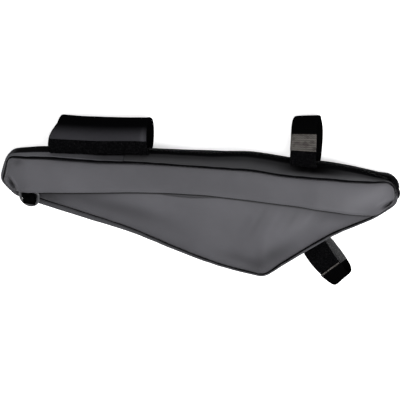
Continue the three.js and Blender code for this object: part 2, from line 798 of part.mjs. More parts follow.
// The webbing that folds round the ring's bar and runs up under the band.
function ringTab() {
  const turn = RING_WIRE / 2 + SEAM_GAP + TAB_WALL / 2;
  const far = BAR_Y + TAB_LENGTH;
  const near = BAR_Y + TAB_LENGTH * TAB_NEAR;
  const over = (y) => frontFace(RING_X, y) + SEAM_GAP + TAB_EASE + TAB_WALL / 2;
  const path = [[far, over(far)], [near, over(near)]];
  for (let k = 0; k <= TAB_BEND_STEPS; k += 1) {
    const angle = -Math.PI / 2 - Math.PI * k / TAB_BEND_STEPS;
    path.push([BAR_Y + turn * Math.cos(angle), ringHeight(RING_X, BAR_Y) + turn * Math.sin(angle)]);
  }
  const apart = TAB_WALL + SEAM_GAP;
  path.push([near + apart, over(near) + apart * TAB_SPREAD], [far, over(far) + apart]);
  const sections = path.map(([y, z], i) => {
    const before = path[Math.max(0, i - 1)];
    const after = path[Math.min(path.length - 1, i + 1)];
    const tangent = new THREE.Vector2(after[0] - before[0], after[1] - before[1]).normalize();
    const rows = [-TAB_WALL / 2, TAB_WALL / 2].map((side) => [-TAB_WIDTH / 2, TAB_WIDTH / 2].map((x) => {
      const tilt = ringHeight(RING_X + x, BAR_Y) - ringHeight(RING_X, BAR_Y);
      return new THREE.Vector3(RING_X + x, y + tangent.y * side, z - tangent.x * side + tilt);
    }));
    return [...rows[0], ...rows[1].reverse()];
  });
  return loft(sections);
}

const coatedFabric = { color: 0x5f6066, roughness: 0.55, metalness: 0 };
const gussetFabric = { color: 0x3a3b3f, roughness: 0.6, metalness: 0 };
const webbing = { color: 0x17171a, roughness: 0.8, metalness: 0 };
const pile = { color: 0x101012, roughness: 0.95, metalness: 0 };
const zipNylon = { color: 0x0c0c0e, roughness: 0.5, metalness: 0 };
const moulded = { color: 0x4a4b4f, roughness: 0.45, metalness: 0 };

const bag = new THREE.Group();

function addPiece(name, geometry, finish) {
  const piece = new THREE.Mesh(geometry, new THREE.MeshStandardMaterial(finish));
  piece.name = name;
  bag.add(piece);
}

addPiece('front_panel', panelGeometry(frontFace, -1), coatedFabric);
addPiece('back_panel', panelGeometry(backFace, 1), gussetFabric);
addPiece('front_band', bandGeometry(), coatedFabric);
addPiece('lower_gusset', lowerGusset(), gussetFabric);
addPiece('gusset_front_strip', stripGeometry(true), gussetFabric);
addPiece('gusset_back_strip', stripGeometry(false), gussetFabric);
addPiece('zip_tape', zipTape(), zipNylon);
addPiece('zip_coil', zipCoil(), zipNylon);
addPiece('zip_slider', zipSlider(), moulded);
addPiece('wrap_base', strapBase(WRAP, WRAP_WALL, WRAP_ENDS.base, still), pile);
addPiece('wrap_flap', strapFlap(WRAP, WRAP_WALL, WRAP_ENDS.flap, cutCorner), webbing);
addPiece('rear_strap_base', strapBase(REAR_STRAP, WEBBING_WALL, REAR_STRAP_ENDS.base, still), pile);
addPiece('rear_strap_flap', strapFlap(REAR_STRAP, WEBBING_WALL, REAR_STRAP_ENDS.flap, still), webbing);
addPiece('seat_strap_base', strapBase(SEAT_STRAP, WEBBING_WALL, SEAT_STRAP_ENDS.base, skewed), pile);
addPiece('seat_strap_flap', strapFlap(SEAT_STRAP, WEBBING_WALL, SEAT_STRAP_ENDS.flap, skewed), webbing);
addPiece('strap_ring', strapRing(), moulded);
addPiece('ring_tab', ringTab(), webbing);

// The origin goes to the middle of the bottom of the whole bag's box.
const box = new THREE.Box3().setFromObject(bag);
const middle = box.getCenter(new THREE.Vector3());
bag.position.set(-middle.x, -middle.y, -box.min.z);

export default bag;
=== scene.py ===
import logging
import math
from collections.abc import Callable
from dataclasses import dataclass
from enum import Enum

import bmesh
import bpy
import numpy as np
from mathutils import Matrix, Vector


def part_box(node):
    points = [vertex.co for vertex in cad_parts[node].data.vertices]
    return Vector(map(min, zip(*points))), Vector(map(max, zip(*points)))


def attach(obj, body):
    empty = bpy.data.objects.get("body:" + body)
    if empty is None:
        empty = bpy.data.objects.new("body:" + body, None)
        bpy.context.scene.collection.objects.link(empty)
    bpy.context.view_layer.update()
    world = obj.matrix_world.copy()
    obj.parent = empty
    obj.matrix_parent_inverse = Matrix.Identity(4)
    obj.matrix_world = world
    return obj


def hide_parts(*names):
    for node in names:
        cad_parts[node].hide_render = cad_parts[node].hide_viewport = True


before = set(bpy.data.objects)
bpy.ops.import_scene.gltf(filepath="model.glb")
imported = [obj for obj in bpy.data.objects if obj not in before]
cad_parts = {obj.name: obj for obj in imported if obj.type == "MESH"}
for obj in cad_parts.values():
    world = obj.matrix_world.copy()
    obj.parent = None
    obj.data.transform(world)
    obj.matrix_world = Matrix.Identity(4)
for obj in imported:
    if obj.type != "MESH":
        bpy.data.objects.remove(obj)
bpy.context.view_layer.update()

LOG = logging.getLogger("frame_bag")
MM = 0.001
Field = Callable[[np.ndarray, np.ndarray], np.ndarray]
Mask = Callable[[np.ndarray, np.ndarray, np.ndarray], np.ndarray]


class Slot(Enum):
    """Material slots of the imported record."""

    COATED = "coated_fabric"
    GUSSET = "gusset_fabric"
    WEBBING = "webbing"
    PILE = "loop_pile"
    ZIP = "zip_nylon"
    MOULDED = "moulded"


class Side(Enum):
    """The two faces of the bag."""

    FRONT = 1.0
    BACK = -1.0


# Sizes and tables shared with the solids. Lengths are in millimetres, shares are of the named sizes.

BAG_LENGTH = 402.0
PANEL_HEIGHT = 105.0
BAG_DEPTH = 51.0
MIDDLE_HEIGHT = 26.0
SEAM_GAP = 0.3
PANEL_CROWN = 7.0
BACK_CROWN = 5.0
TOP_CROWN = 11.5
SIDE_BULGE = 7.0
BAND_LIFT = 7.0
ZIP_START = 0.31
ZIP_END = 0.3
HEM_FROM_MIDDLE = 7.4

# Small changes to the solids' seam line, for the likeness: the lowest corner moves along and up, the
# rear tip moves in, and the gusset bulges less at the nose's top corner and at the rear tip.
APEX_PULL = (3.0, 0.8)
APEX_PLACE = (0.655, -0.985)
APEX_REACH = (0.05, 0.16)
TIP_PULL = 2.2
TIP_FROM = 0.91
TIP_EASE = 0.6
TIP_PLACE = (BAG_LENGTH, -20.0)
TIP_REACH = (6.0, 8.0)
NOSE_EASE = 0.45
NOSE_PLACE = (5.0, -3.0)
NOSE_REACH = (13.0, 12.0)


@dataclass(frozen=True)
class Corner:
    """A rounded corner of the seam line."""

    along: float
    down: float
    radius: float
    steps: int
    bulge: float
    power: float


@dataclass(frozen=True)
class Edge:
    """The stretch of seam that follows a corner."""

    steps: int
    power: float
    bulges: tuple[tuple[float, float], ...]
    bows: tuple[tuple[float, float], ...]


CORNERS = (
    Corner(0.012, 0.034, 0.075, 3, 0.65, 2.5),
    Corner(0.992, 0.029, 0.110, 5, 0.02, 1.6),
    Corner(0.997, 0.238, 0.065, 3, 0.2, 3.0),
    Corner(0.658, 1.006, 0.135, 4, 0.4, 4.0),
    Corner(0.032, 0.367, 0.140, 2, 0.9, 4.0),
    Corner(-0.002, 0.281, 0.040, 2, 0.6, 3.0),
)

EDGES = (
    Edge(30, 0.0, (), (
        (0.037, 0.012), (0.09, 0.030), (0.24, 0.040), (0.34, 0.065), (0.5, 0.078), (0.65, 0.083),
        (0.69, 0.067), (0.735, 0.050), (0.85, 0.035), (0.92, 0.014), (0.97, 0.0))),
    Edge(2, 2.0, ((0.0, 0.02), (1.0, 0.1)), ()),
    Edge(12, 4.0, ((0.0, 0.15), (0.25, 0.45), (0.5, 0.6), (0.85, 0.6), (1.0, 0.45)), (
        (0.12, 0.009), (0.27, -0.023), (0.39, -0.048), (0.525, -0.053), (0.66, -0.041), (0.79, -0.026))),
    Edge(20, 4.0, ((0.0, 0.4), (0.25, 0.55), (0.65, 1.0), (1.0, 1.05)), (
        (0.13, 0.010), (0.23, 0.008), (0.34, -0.006), (0.52, -0.037), (0.65, -0.031), (0.84, -0.016))),
    Edge(1, 4.0, ((0.0, 0.8), (1.0, 0.8)), ()),
    Edge(3, 3.0, ((0.0, 0.6), (1.0, 0.65)), ()),
)

# Columns: along, rise of the top gusset, boxiness of its section.
TOP_RISE = np.array([
    (0.02, 0.42, 2.5), (0.12, 0.42, 2.5), (0.25, 0.50, 2.2), (0.38, 0.56, 1.5), (0.485, 0.53, 1.4),
    (0.552, 0.57, 1.4), (0.6, 0.80, 1.4), (0.665, 0.67, 1.4), (0.707, 0.73, 1.4), (0.76, 0.70, 1.4),
    (0.835, 0.58, 1.4), (0.875, 0.53, 1.4), (0.905, 0.45, 1.4), (0.93, 0.35, 1.5), (0.965, 0.27, 1.5),
    (1.0, 0.04, 1.6)])

# Columns: along, share of the depth between the seams, share of the middle plane's height.
DEPTHS = np.array([
    (0.00, 0.27, 0.81), (0.02, 0.41, 0.83), (0.06, 0.53, 0.86), (0.125, 0.59, 0.90), (0.25, 0.70, 0.94),
    (0.375, 0.82, 0.97), (0.50, 0.94, 1.0), (0.60, 1.0, 1.0), (0.75, 1.0, 1.0), (0.805, 0.97, 1.0),
    (0.875, 0.84, 0.98), (0.925, 0.65, 0.95), (0.96, 0.52, 0.92), (0.985, 0.40, 0.88), (1.0, 0.30, 0.85)])

# Columns: along, the band's lower edge below the seam, how far it lifts off the panel.
BAND_EDGE = np.array([
    (0.0, 0.350, 0.45), (0.065, 0.334, 1.0), (0.12, 0.306, 0.55), (0.25, 0.262, 0.28), (0.34, 0.229, 0.10),
    (0.43, 0.207, 0.06), (0.52, 0.196, 0.06), (0.62, 0.211, 0.06), (0.705, 0.231, 0.08),
    (0.76, 0.239, 0.16), (0.86, 0.282, 0.45), (0.94, 0.335, 0.35), (1.0, 0.365, 0.10)])

# Columns: along, down, reach along, reach down, rise as a share of the crown.
FRONT_FOLDS = np.array([
    (0.70, 0.62, 0.07, 0.30, 0.28), (0.60, 0.86, 0.05, 0.12, -0.22), (0.35, 0.52, 0.06, 0.12, -0.20),
    (0.86, 0.40, 0.06, 0.10, -0.25)])

# Columns: share of half the loop's depth, share of its height.
LOOP_SHAPE = ((0.74, 0.07), (0.93, 0.28), (1.0, 0.52), (0.93, 0.77), (0.70, 0.94), (0.34, 1.0))

# The rear strap's two walls as the photo shows them, in the same columns.
LEANING_FRONT = ((0.76, 0.07), (0.88, 0.27), (0.84, 0.50), (0.66, 0.74), (0.34, 0.92), (-0.05, 1.0))
SQUARE_BACK = ((0.76, 0.07), (0.94, 0.28), (1.0, 0.55), (0.99, 0.86), (0.90, 0.985), (0.56, 1.02))

# Where a strap's feet lie on the gusset, in shares of half its depth, and how far off it they stand.
FOOT_INNER = 0.40
FOOT_OUTER = 0.62
FOOT_EASE = 0.6


def smoothstep(value: np.ndarray, low: float, high: float) -> np.ndarray:
    """Eases from 0 at low to 1 at high.

    Args:
        value: Numbers to ease.
        low: Where the step starts.
        high: Where the step ends.

    Returns:
        The eased numbers, from 0 to 1.
    """
    share = np.clip((value - low) / (high - low), 0.0, 1.0)
    return share * share * (3.0 - 2.0 * share)


def ripples(x: np.ndarray, y: np.ndarray, size: float, seed: int) -> np.ndarray:
    """Soft irregular waves with no repeat, the same on every run.

    Args:
        x: Places along one direction, in millimetres.
        y: Places along the other direction, in millimetres.
        size: Typical width of a wave, in millimetres.
        seed: Which set of waves.

    Returns:
        Heights from about -1 to 1.
    """
    chance = np.random.default_rng(seed)
    total = np.zeros_like(x, dtype=float)
    for _ in range(9):
        turn = chance.uniform(0.0, math.tau)
        stretch = chance.uniform(0.6, 1.7)
        phase = chance.uniform(0.0, math.tau)
        total += np.sin((x * math.cos(turn) + y * math.sin(turn)) * math.pi * stretch / size + phase)
    return total / 4.0


def hump(value: np.ndarray, centre: float | np.ndarray, width: float) -> np.ndarray:
    """A bell curve, 1 high at its centre."""
    return np.exp(-(((value - centre) / width) ** 2))


def mound(
    x: np.ndarray, y: np.ndarray, place: tuple[float, float], reach: tuple[float, float]
) -> np.ndarray:
    """A bell curve in two directions, 1 high at its place.

    Args:
        x: Places along the bag.
        y: Places across it.
        place: Its middle.
        reach: How far it reaches each way.

    Returns:
        The heights.
    """
    return hump(x, place[0], reach[0]) * hump(y, place[1], reach[1])


def crowd(share: np.ndarray, amount: float) -> np.ndarray:
    """Shares drawn towards both ends, where a piece needs finer faces."""
    return amount * (0.5 - 0.5 * np.cos(np.pi * share)) + (1 - amount) * share


def soften(values: np.ndarray) -> np.ndarray:
    """A closed list of values, each blended with its neighbours."""
    return (np.roll(values, 1) + 2 * values + np.roll(values, -1)) / 4


@dataclass(frozen=True)
class Pucker:
    """Small uneven waves that a seam pulls into the cloth, in millimetres."""

    rise: float
    wave: float
    wander: float
    stretch: float
    reach: float

    def at(self, length: np.ndarray, gap: np.ndarray) -> np.ndarray:
        """Height of the waves at lengths along the seam and distances from it.

        Args:
            length: Lengths along the seam.
            gap: Distances from the seam.

        Returns:
            The heights.
        """
        phase = length / self.wave + self.wander * np.sin(length / self.stretch)
        return self.rise * np.sin(phase) * np.exp(-gap / self.reach)


class Profile:
    """One column of a table, read smoothly along the bag."""

    def __init__(self, rows: np.ndarray, column: int, blur: float = 0.010) -> None:
        """Samples the column finely and rounds its corners.

        Args:
            rows: The table, with the place along the bag first.
            column: Which column to read.
            blur: How wide the rounding is, as a share of the length.
        """
        fine = np.linspace(-0.1, 1.1, 1201)
        values = np.interp(fine, rows[:, 0], rows[:, column])
        kernel = np.exp(-0.5 * (np.arange(-50, 51) * 0.001 / blur) ** 2)
        self.places = fine[50:-50]
        self.values = np.convolve(values, kernel / kernel.sum(), "valid")

    def __call__(self, along: np.ndarray) -> np.ndarray:
        """Reads the column at places along the bag."""
        return np.interp(along, self.places, self.values)


class SeamLine:
    """The closed line where the panels meet the gusset, and the surfaces that hang on it."""

    def __init__(self) -> None:
        """Builds the line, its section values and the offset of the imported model."""
        self.top_rise = Profile(TOP_RISE, 1)
        self.top_power = Profile(TOP_RISE, 2)
        self.depth_share = Profile(DEPTHS, 1, 0.006)
        self.middle_share = Profile(DEPTHS, 2, 0.006)
        self.band_down = Profile(BAND_EDGE, 1, 0.014)
        self.band_lift = Profile(BAND_EDGE, 2, 0.014)
        coarse = self._coarse_line()
        self.marks = coarse["length"]
        self.total = coarse["total"]
        self.s = np.arange(0.0, self.total, 0.8)
        self.x = self._smooth(coarse["x"], self.s)
        self.y = self._smooth(coarse["y"], self.s)
        self.bulge = self._smooth(coarse["bulge"], self.s)
        self.power = self._smooth(coarse["power"], self.s)
        low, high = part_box("front_panel")
        self.offset = np.array([
            (low.x + high.x) / 2 / MM - (self.x.min() + self.x.max()) / 2,
            (low.y + high.y) / 2 / MM - (self.y.min() + self.y.max()) / 2,
            0.0,
        ])
        near = mound(self.x / BAG_LENGTH, self.y / PANEL_HEIGHT, APEX_PLACE, APEX_REACH)
        rear = smoothstep(self.x, TIP_FROM * BAG_LENGTH, BAG_LENGTH)
        self.x, self.y = self.x + APEX_PULL[0] * near - TIP_PULL * rear, self.y + APEX_PULL[1] * near
        nose = mound(self.x, self.y, NOSE_PLACE, NOSE_REACH)
        tip = mound(self.x, self.y, TIP_PLACE, TIP_REACH)
        self.bulge = self.bulge * (1 - NOSE_EASE * nose) * (1 - TIP_EASE * tip)
        dx = np.roll(self.x, -1) - np.roll(self.x, 1)
        dy = np.roll(self.y, -1) - np.roll(self.y, 1)
        size = np.hypot(dx, dy)
        self.nx, self.ny = -dy / size, dx / size
        self._chains()

    def _coarse_line(self) -> dict[str, np.ndarray]:
        """Points of the seam line with round corners, as the solids have them.

        Returns:
            Arrays of place, length so far, bulge and power, and the whole length.
        """
        spots = [np.array([c.along * BAG_LENGTH, -c.down * PANEL_HEIGHT]) for c in CORNERS]
        count = len(spots)
        arcs = []
        for i, corner in enumerate(CORNERS):
            inward = spots[i] - spots[i - 1]
            onward = spots[(i + 1) % count] - spots[i]
            inward = inward / np.linalg.norm(inward)
            onward = onward / np.linalg.norm(onward)
            turn = math.acos(float(np.clip(inward @ onward, -1.0, 1.0)))
            radius = corner.radius * PANEL_HEIGHT
            start = spots[i] - inward * radius * math.tan(turn / 2)
            centre = start + np.array([inward[1], -inward[0]]) * radius
            arc = []
            for k in range(corner.steps + 1):
                angle = -turn * k / corner.steps
                c, s = math.cos(angle), math.sin(angle)
                arm = start - centre
                arc.append(centre + np.array([arm[0] * c - arm[1] * s, arm[0] * s + arm[1] * c]))
            arcs.append(arc)
        points, bulges, powers, self.starts = [], [], [], []
        for i in range(count):
            for point in arcs[i]:
                points.append(point)
                bulges.append(CORNERS[i].bulge * SIDE_BULGE)
                powers.append(CORNERS[i].power)
            self.starts.append(len(points) - 1)
            start, end = arcs[i][-1], arcs[(i + 1) % count][0]
            way = (end - start) / np.linalg.norm(end - start)
            out = np.array([-way[1], way[0]])
            edge = EDGES[i]
            bows = np.array([(0.0, 0.0), *edge.bows, (1.0, 0.0)])
            for k in range(1, edge.steps):
                share = k / edge.steps
                bow = np.interp(share, bows[:, 0], bows[:, 1]) * PANEL_HEIGHT
                point = start + (end - start) * share + out * bow
                points.append(point)
                if edge.bulges:
                    table = np.array(edge.bulges)
                    bulges.append(float(np.interp(share, table[:, 0], table[:, 1])) * SIDE_BULGE)
                    powers.append(edge.power)
                else:
                    bulges.append(float(self.top_rise(point[0] / BAG_LENGTH)) * TOP_CROWN)
                    powers.append(float(self.top_power(point[0] / BAG_LENGTH)))
        line = np.array(points)
        steps = np.linalg.norm(np.roll(line, -1, axis=0) - line, axis=1)
        return {
            "x": line[:, 0], "y": line[:, 1], "length": np.concatenate([[0.0], np.cumsum(steps)[:-1]]),
            "total": float(steps.sum()), "bulge": soften(np.array(bulges)),
            "power": soften(soften(np.array(powers))),
        }

    def _smooth(self, values: np.ndarray, at: np.ndarray) -> np.ndarray:
        """Cubic reading of a closed list of values by length.

        Args:
            values: One value at each mark.
            at: Lengths along the line.

        Returns:
            The values at those lengths.
        """
        marks = np.concatenate([self.marks, [self.total]])
        after, before = np.roll(values, -1), np.roll(values, 1)
        gap_after = np.diff(marks)
        gap_before = np.roll(gap_after, 1)
        slope = (after - before) / (gap_after + gap_before)
        at = np.mod(at, self.total)
        i = np.clip(np.searchsorted(marks, at, side="right") - 1, 0, len(values) - 1)
        j = (i + 1) % len(values)
        step = gap_after[i]
        w = (at - marks[i]) / step
        h1 = 2 * w**3 - 3 * w**2 + 1
        h2 = w**3 - 2 * w**2 + w
        h3 = -2 * w**3 + 3 * w**2
        h4 = w**3 - w**2
        return h1 * values[i] + h2 * step * slope[i] + h3 * values[j] + h4 * step * slope[j]

    def _chains(self) -> None:
        """Splits the line into its upper and lower halves, for reading across."""
        x, y = self.x, self.y
        first, last = int(x.argmin()), int(x.argmax())
        order = (np.arange(len(x)) + first) % len(x)
        cut = int(np.where(order == last)[0][0])
        upper, lower = order[: cut + 1], order[cut:][::-1]
        lower = np.concatenate([[first], lower]) if lower[0] != first else lower
        self.upper = (np.maximum.accumulate(x[upper]), y[upper])
        self.lower = (np.maximum.accumulate(x[lower]), y[lower])

    def across(self, x: np.ndarray) -> tuple[np.ndarray, np.ndarray]:
        """Highest and lowest seam point at places along the bag.

        Args:
            x: Places along the bag, in millimetres.

        Returns:
            The upper and the lower edge.
        """
        return np.interp(x, *self.upper), np.interp(x, *self.lower)

    def at(self, length: np.ndarray) -> dict[str, np.ndarray]:
        """The section values at lengths along the seam.

        Args:
            length: Lengths along the seam, which may run past its end.

        Returns:
            Place, outward normal, bulge, power, depth and middle height.
        """
        spot = np.mod(length, self.total)
        marks = np.concatenate([self.s, [self.total]])

        def read(values: np.ndarray) -> np.ndarray:
            """Reads a closed list at the spots."""
            return np.interp(spot, marks, np.concatenate([values, values[:1]]))

        x = read(self.x)
        along = x / BAG_LENGTH
        nx, ny = read(self.nx), read(self.ny)
        size = np.hypot(nx, ny)
        return {
            "x": x, "y": read(self.y), "nx": nx / size, "ny": ny / size, "bulge": read(self.bulge),
            "power": read(self.power), "depth": self.depth_share(along) * BAG_DEPTH,
            "middle": self.middle_share(along) * MIDDLE_HEIGHT,
        }

    def at_one(self, length: float) -> dict[str, float]:
        """The section values at one length."""
        return {key: float(value[0]) for key, value in self.at(np.array([length])).items()}

    def edge_length(self, edge: int, share: float) -> float:
        """Length along the seam at a share of an edge."""
        start = self.starts[edge]
        marks = self.marks
        return float(marks[start] + (marks[start + EDGES[edge].steps] - marks[start]) * share)

    def top_length(self, along: float) -> float:
        """Length along the seam where the top edge reaches a share of the bag's length."""
        stop = self.edge_length(1, 0.0)
        on_top = self.s < stop
        return float(np.interp(along * BAG_LENGTH, np.maximum.accumulate(self.x[on_top]), self.s[on_top]))

    def distance(self, x: np.ndarray, y: np.ndarray) -> tuple[np.ndarray, np.ndarray]:
        """Distance to the seam and the length at its nearest point.

        Args:
            x: Places along the bag.
            y: Places across the bag.

        Returns:
            Distances in millimetres and lengths along the seam.
        """
        near = np.full(len(x), np.inf)
        where = np.zeros(len(x))
        for k in range(0, len(self.s), 2):
            gap = np.hypot(x - self.x[k], y - self.y[k])
            closer = gap < near
            near[closer] = gap[closer]
            where[closer] = self.s[k]
        return near, where

    def swell(self, x: np.ndarray, y: np.ndarray) -> np.ndarray:
        """How far a panel has swelled between its seams.

        Args:
            x: Places along the bag.
            y: Places across it.

        Returns:
            Shares of the crown, from 0 to 1.
        """
        top, low = self.across(x)
        share = np.clip((y - low) / np.maximum(top - low, 1e-6), 0.0, 1.0)
        along = x / BAG_LENGTH
        ends = smoothstep(along, -0.03, 0.16) * smoothstep(1.02 - along, 0.0, 0.13)
        return np.power(4 * share * (1 - share), 0.75) * ends

    def front(self, x: np.ndarray, y: np.ndarray) -> np.ndarray:
        """Outer face of the front panel, without its fine folds.

        Args:
            x: Places along the bag.
            y: Places across it.

        Returns:
            Heights in millimetres.
        """
        along = x / BAG_LENGTH
        fold = np.zeros_like(x)
        for place, down, reach, drop, rise in FRONT_FOLDS:
            fold += rise * mound(along, -y / PANEL_HEIGHT, (place, down), (reach, drop))
        seam = self.middle_share(along) * MIDDLE_HEIGHT + self.depth_share(along) * BAG_DEPTH / 2
        return seam + PANEL_CROWN * self.swell(x, y) * (1 + fold)

    def front_at(self, x: float, y: float) -> float:
        """Height of the front panel at one place."""
        return float(self.front(np.array([x]), np.array([y]))[0])

    def back(self, x: np.ndarray, y: np.ndarray) -> np.ndarray:
        """Outer face of the back panel, flat where it lies on the floor.

        Args:
            x: Places along the bag.
            y: Places across it.

        Returns:
            Heights in millimetres.
        """
        along = x / BAG_LENGTH
        seam = self.middle_share(along) * MIDDLE_HEIGHT - self.depth_share(along) * BAG_DEPTH / 2
        return np.maximum(0.0, seam - BACK_CROWN * self.swell(x, y))


def section_rise(power: np.ndarray, share: np.ndarray) -> np.ndarray:
    """How far the gusset's section has risen, from 0 on the seams to 1 in the middle."""
    side = np.clip(np.abs(2 * share - 1), 0.0, 1.0)
    return np.power(np.maximum(0.0, 1 - side**power), 1 / power)


def stand(here: dict[str, np.ndarray], out: np.ndarray, level: np.ndarray) -> np.ndarray:
    """Places at a distance outwards from the seam and at a height."""
    return np.stack([here["x"] + here["nx"] * out, here["y"] + here["ny"] * out, level], axis=1)


def look_up(spots: np.ndarray) -> np.ndarray:
    """Upward directions, for turning faces towards the front."""
    return np.tile([0.0, 0.0, 1.0], (len(spots), 1))


# Helpers that make and dress meshes.


def grid_mesh(
    name: str,
    columns: int,
    rows: int,
    place: Field,
    seam: SeamLine,
    size: tuple[float, float],
    ring: bool = False,
    loop: bool = False,
    masks: dict[str, Mask] | None = None,
) -> bpy.types.Object:
    """A piece shaped from a grid, with a UV map in metres.

    Args:
        name: Name of the piece.
        columns: Faces along it.
        rows: Faces across it.
        place: Gives the place in millimetres for shares along and across.
        seam: The seam line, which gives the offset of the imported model.
        size: Real length and width in millimetres, for the UV map.
        ring: True where the rows close round a section, whose ends are then filled.
        loop: True where the columns close as well.
        masks: Named point attributes, from shares along and across and the places in millimetres.

    Returns:
        The new object, in its place, smooth shaded.
    """
    bm = bmesh.new()
    bm.loops.layers.uv.new("UVMap")
    bmesh.ops.create_grid(bm, x_segments=columns, y_segments=rows, size=0.5, calc_uvs=True)
    flat = np.array([vert.co[:2] for vert in bm.verts]) + 0.5
    along, across = flat[:, 0], flat[:, 1]
    shape = place(along, across)
    spots = (shape + seam.offset) * MM
    layers = {key: bm.verts.layers.float.new(key) for key in masks or {}}
    values = {key: mask(along, across, shape) for key, mask in (masks or {}).items()}
    for i, vert in enumerate(bm.verts):
        vert.co = spots[i]
        for key, layer in layers.items():
            vert[layer] = float(values[key][i])
    if ring:
        bmesh.ops.remove_doubles(bm, verts=bm.verts[:], dist=1e-6)
        if not loop:
            rim = [edge for edge in bm.edges if edge.is_boundary]
            bmesh.ops.holes_fill(bm, edges=rim, sides=0)
        bmesh.ops.recalc_face_normals(bm, faces=bm.faces[:])
    mesh = bpy.data.meshes.new(name)
    bm.to_mesh(mesh)
    bm.free()
    sheet = mesh.uv_layers[0].data
    uv = np.empty(len(sheet) * 2, np.float32)
    sheet.foreach_get("uv", uv)
    uv = uv.reshape(-1, 2) * np.array([size[0] * MM, size[1] * MM], np.float32)
    sheet.foreach_set("uv", uv.ravel())
    return new_piece(name, mesh)


def new_piece(name: str, mesh: bpy.types.Mesh) -> bpy.types.Object:
    """Links a smooth shaded object for a mesh.

    Args:
        name: Its name.
        mesh: Its mesh.

    Returns:
        The new object.
    """
    mesh.shade_smooth()
    piece = bpy.data.objects.new(name, mesh)
    bpy.context.scene.collection.objects.link(piece)
    return piece


def face_way(piece: bpy.types.Object, way: Callable[[np.ndarray], np.ndarray]) -> None:
    """Turns an open sheet's faces so that they look along a direction field.

    Args:
        piece: The sheet.
        way: Gives the wanted outward direction at each face centre.
    """
    mesh = piece.data
    count = len(mesh.polygons)
    centres, normals = np.empty(count * 3), np.empty(count * 3)
    mesh.polygons.foreach_get("center", centres)
    mesh.polygons.foreach_get("normal", normals)
    wanted = way(centres.reshape(-1, 3))
    if float((wanted * normals.reshape(-1, 3)).sum()) < 0:
        mesh.flip_normals()


def thicken(piece: bpy.types.Object, wall: float) -> None:
    """Gives an open sheet its wall, inwards from its shaped face.

    Args:
        piece: The sheet.
        wall: Thickness in millimetres.
    """
    shell = piece.modifiers.new("wall", "SOLIDIFY")
    shell.thickness = wall * MM
    shell.offset = -1.0
    shell.use_rim = True
    shell.use_even_offset = False


def settle(piece: bpy.types.Object, slot: Slot, finish: bpy.types.Material, *nodes: str) -> None:
    """Dresses a piece, lets it ride on the bag and hides the solids that it stands for.

    Args:
        piece: The finished piece.
        slot: Not used.
        finish: Its material.
        *nodes: Solids that it replaces.
    """
    piece.data.materials.clear()
    piece.data.materials.append(finish)
    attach(piece, "root")
    if nodes:
        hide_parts(*nodes)
    LOG.info("%s: %d faces", piece.name, len(piece.data.polygons))


# Finishes.


class Wiring:
    """Adds and joins the nodes of one tree."""

    def __init__(self, tree: bpy.types.NodeTree) -> None:
        """Keeps the tree."""
        self.tree = tree

    def add(self, kind: str, **settings: object) -> bpy.types.Node:
        """A new node with its settings."""
        node = self.tree.nodes.new(kind)
        for key, value in settings.items():
            setattr(node, key, value)
        return node

    def join(self, source: bpy.types.NodeSocket, target: bpy.types.NodeSocket) -> None:
        """Joins two sockets."""
        self.tree.links.new(source, target)

    def feed(self, socket: bpy.types.NodeSocket, value: object) -> None:
        """Joins a socket to a source, or sets it to a plain value."""
        if isinstance(value, bpy.types.NodeSocket):
            self.join(value, socket)
        else:
            socket.default_value = value

    def math(self, operation: str, first: object, second: object = 0.0) -> bpy.types.NodeSocket:
        """A sum on two values.

        Args:
            operation: The Math node's operation.
            first: A socket or a number.
            second: A socket or a number.

        Returns:
            The result's socket.
        """
        node = self.add("ShaderNodeMath", operation=operation)
        self.feed(node.inputs[0], first)
        self.feed(node.inputs[1], second)
        return node.outputs[0]

    def ramp(
        self, value: object, low: float, high: float, out_low: float, out_high: float
    ) -> bpy.types.NodeSocket:
        """Eases a value from one range to another.

        Args:
            value: The socket to read.
            low: Where the reading starts.
            high: Where the reading ends.
            out_low: Result at the start.
            out_high: Result at the end.

        Returns:
            The result's socket.
        """
        node = self.add("ShaderNodeMapRange", interpolation_type="SMOOTHSTEP")
        for index, number in enumerate((value, low, high, out_low, out_high)):
            self.feed(node.inputs[index], number)
        return node.outputs[0]

    def tint(self, share: object, first: object, second: object) -> bpy.types.NodeSocket:
        """A mix of two colours.

        Args:
            share: How much of the second colour.
            first: A colour or a socket.
            second: A colour or a socket.

        Returns:
            The mixed colour's socket.
        """
        node = self.add("ShaderNodeMix", data_type="RGBA")
        self.feed(node.inputs[0], share)
        self.feed(node.inputs[6], first)
        self.feed(node.inputs[7], second)
        return node.outputs[2]

    def spots(self) -> bpy.types.NodeSocket:
        """Places on the object, in metres."""
        return self.add("ShaderNodeTexCoord").outputs["Object"]

    def cloth(self) -> bpy.types.NodeSocket:
        """Places on the flat cloth, in metres, from the UV map."""
        return self.add("ShaderNodeUVMap", uv_map="UVMap").outputs[0]

    def mask(self, name: str) -> bpy.types.NodeSocket:
        """A named point attribute."""
        return self.add("ShaderNodeAttribute", attribute_name=name).outputs["Fac"]

    def waves(self, value: object) -> bpy.types.NodeSocket:
        """Round ridges, one for every whole number."""
        return self.math("ABSOLUTE", self.math("SINE", self.math("MULTIPLY", value, math.pi)))

    def noise(
        self, vector: object, scale: float, detail: float = 3.0, rough: float = 0.55
    ) -> bpy.types.NodeSocket:
        """Soft noise on a vector.

        Args:
            vector: The vector's socket.
            scale: Waves in a metre.
            detail: How many finer layers it has.
            rough: How strong the finer layers are.

        Returns:
            The noise's socket.
        """
        node = self.add("ShaderNodeTexNoise")
        self.feed(node.inputs["Vector"], vector)
        node.inputs["Scale"].default_value = scale
        node.inputs["Detail"].default_value = detail
        node.inputs["Roughness"].default_value = rough
        return node.outputs[0]


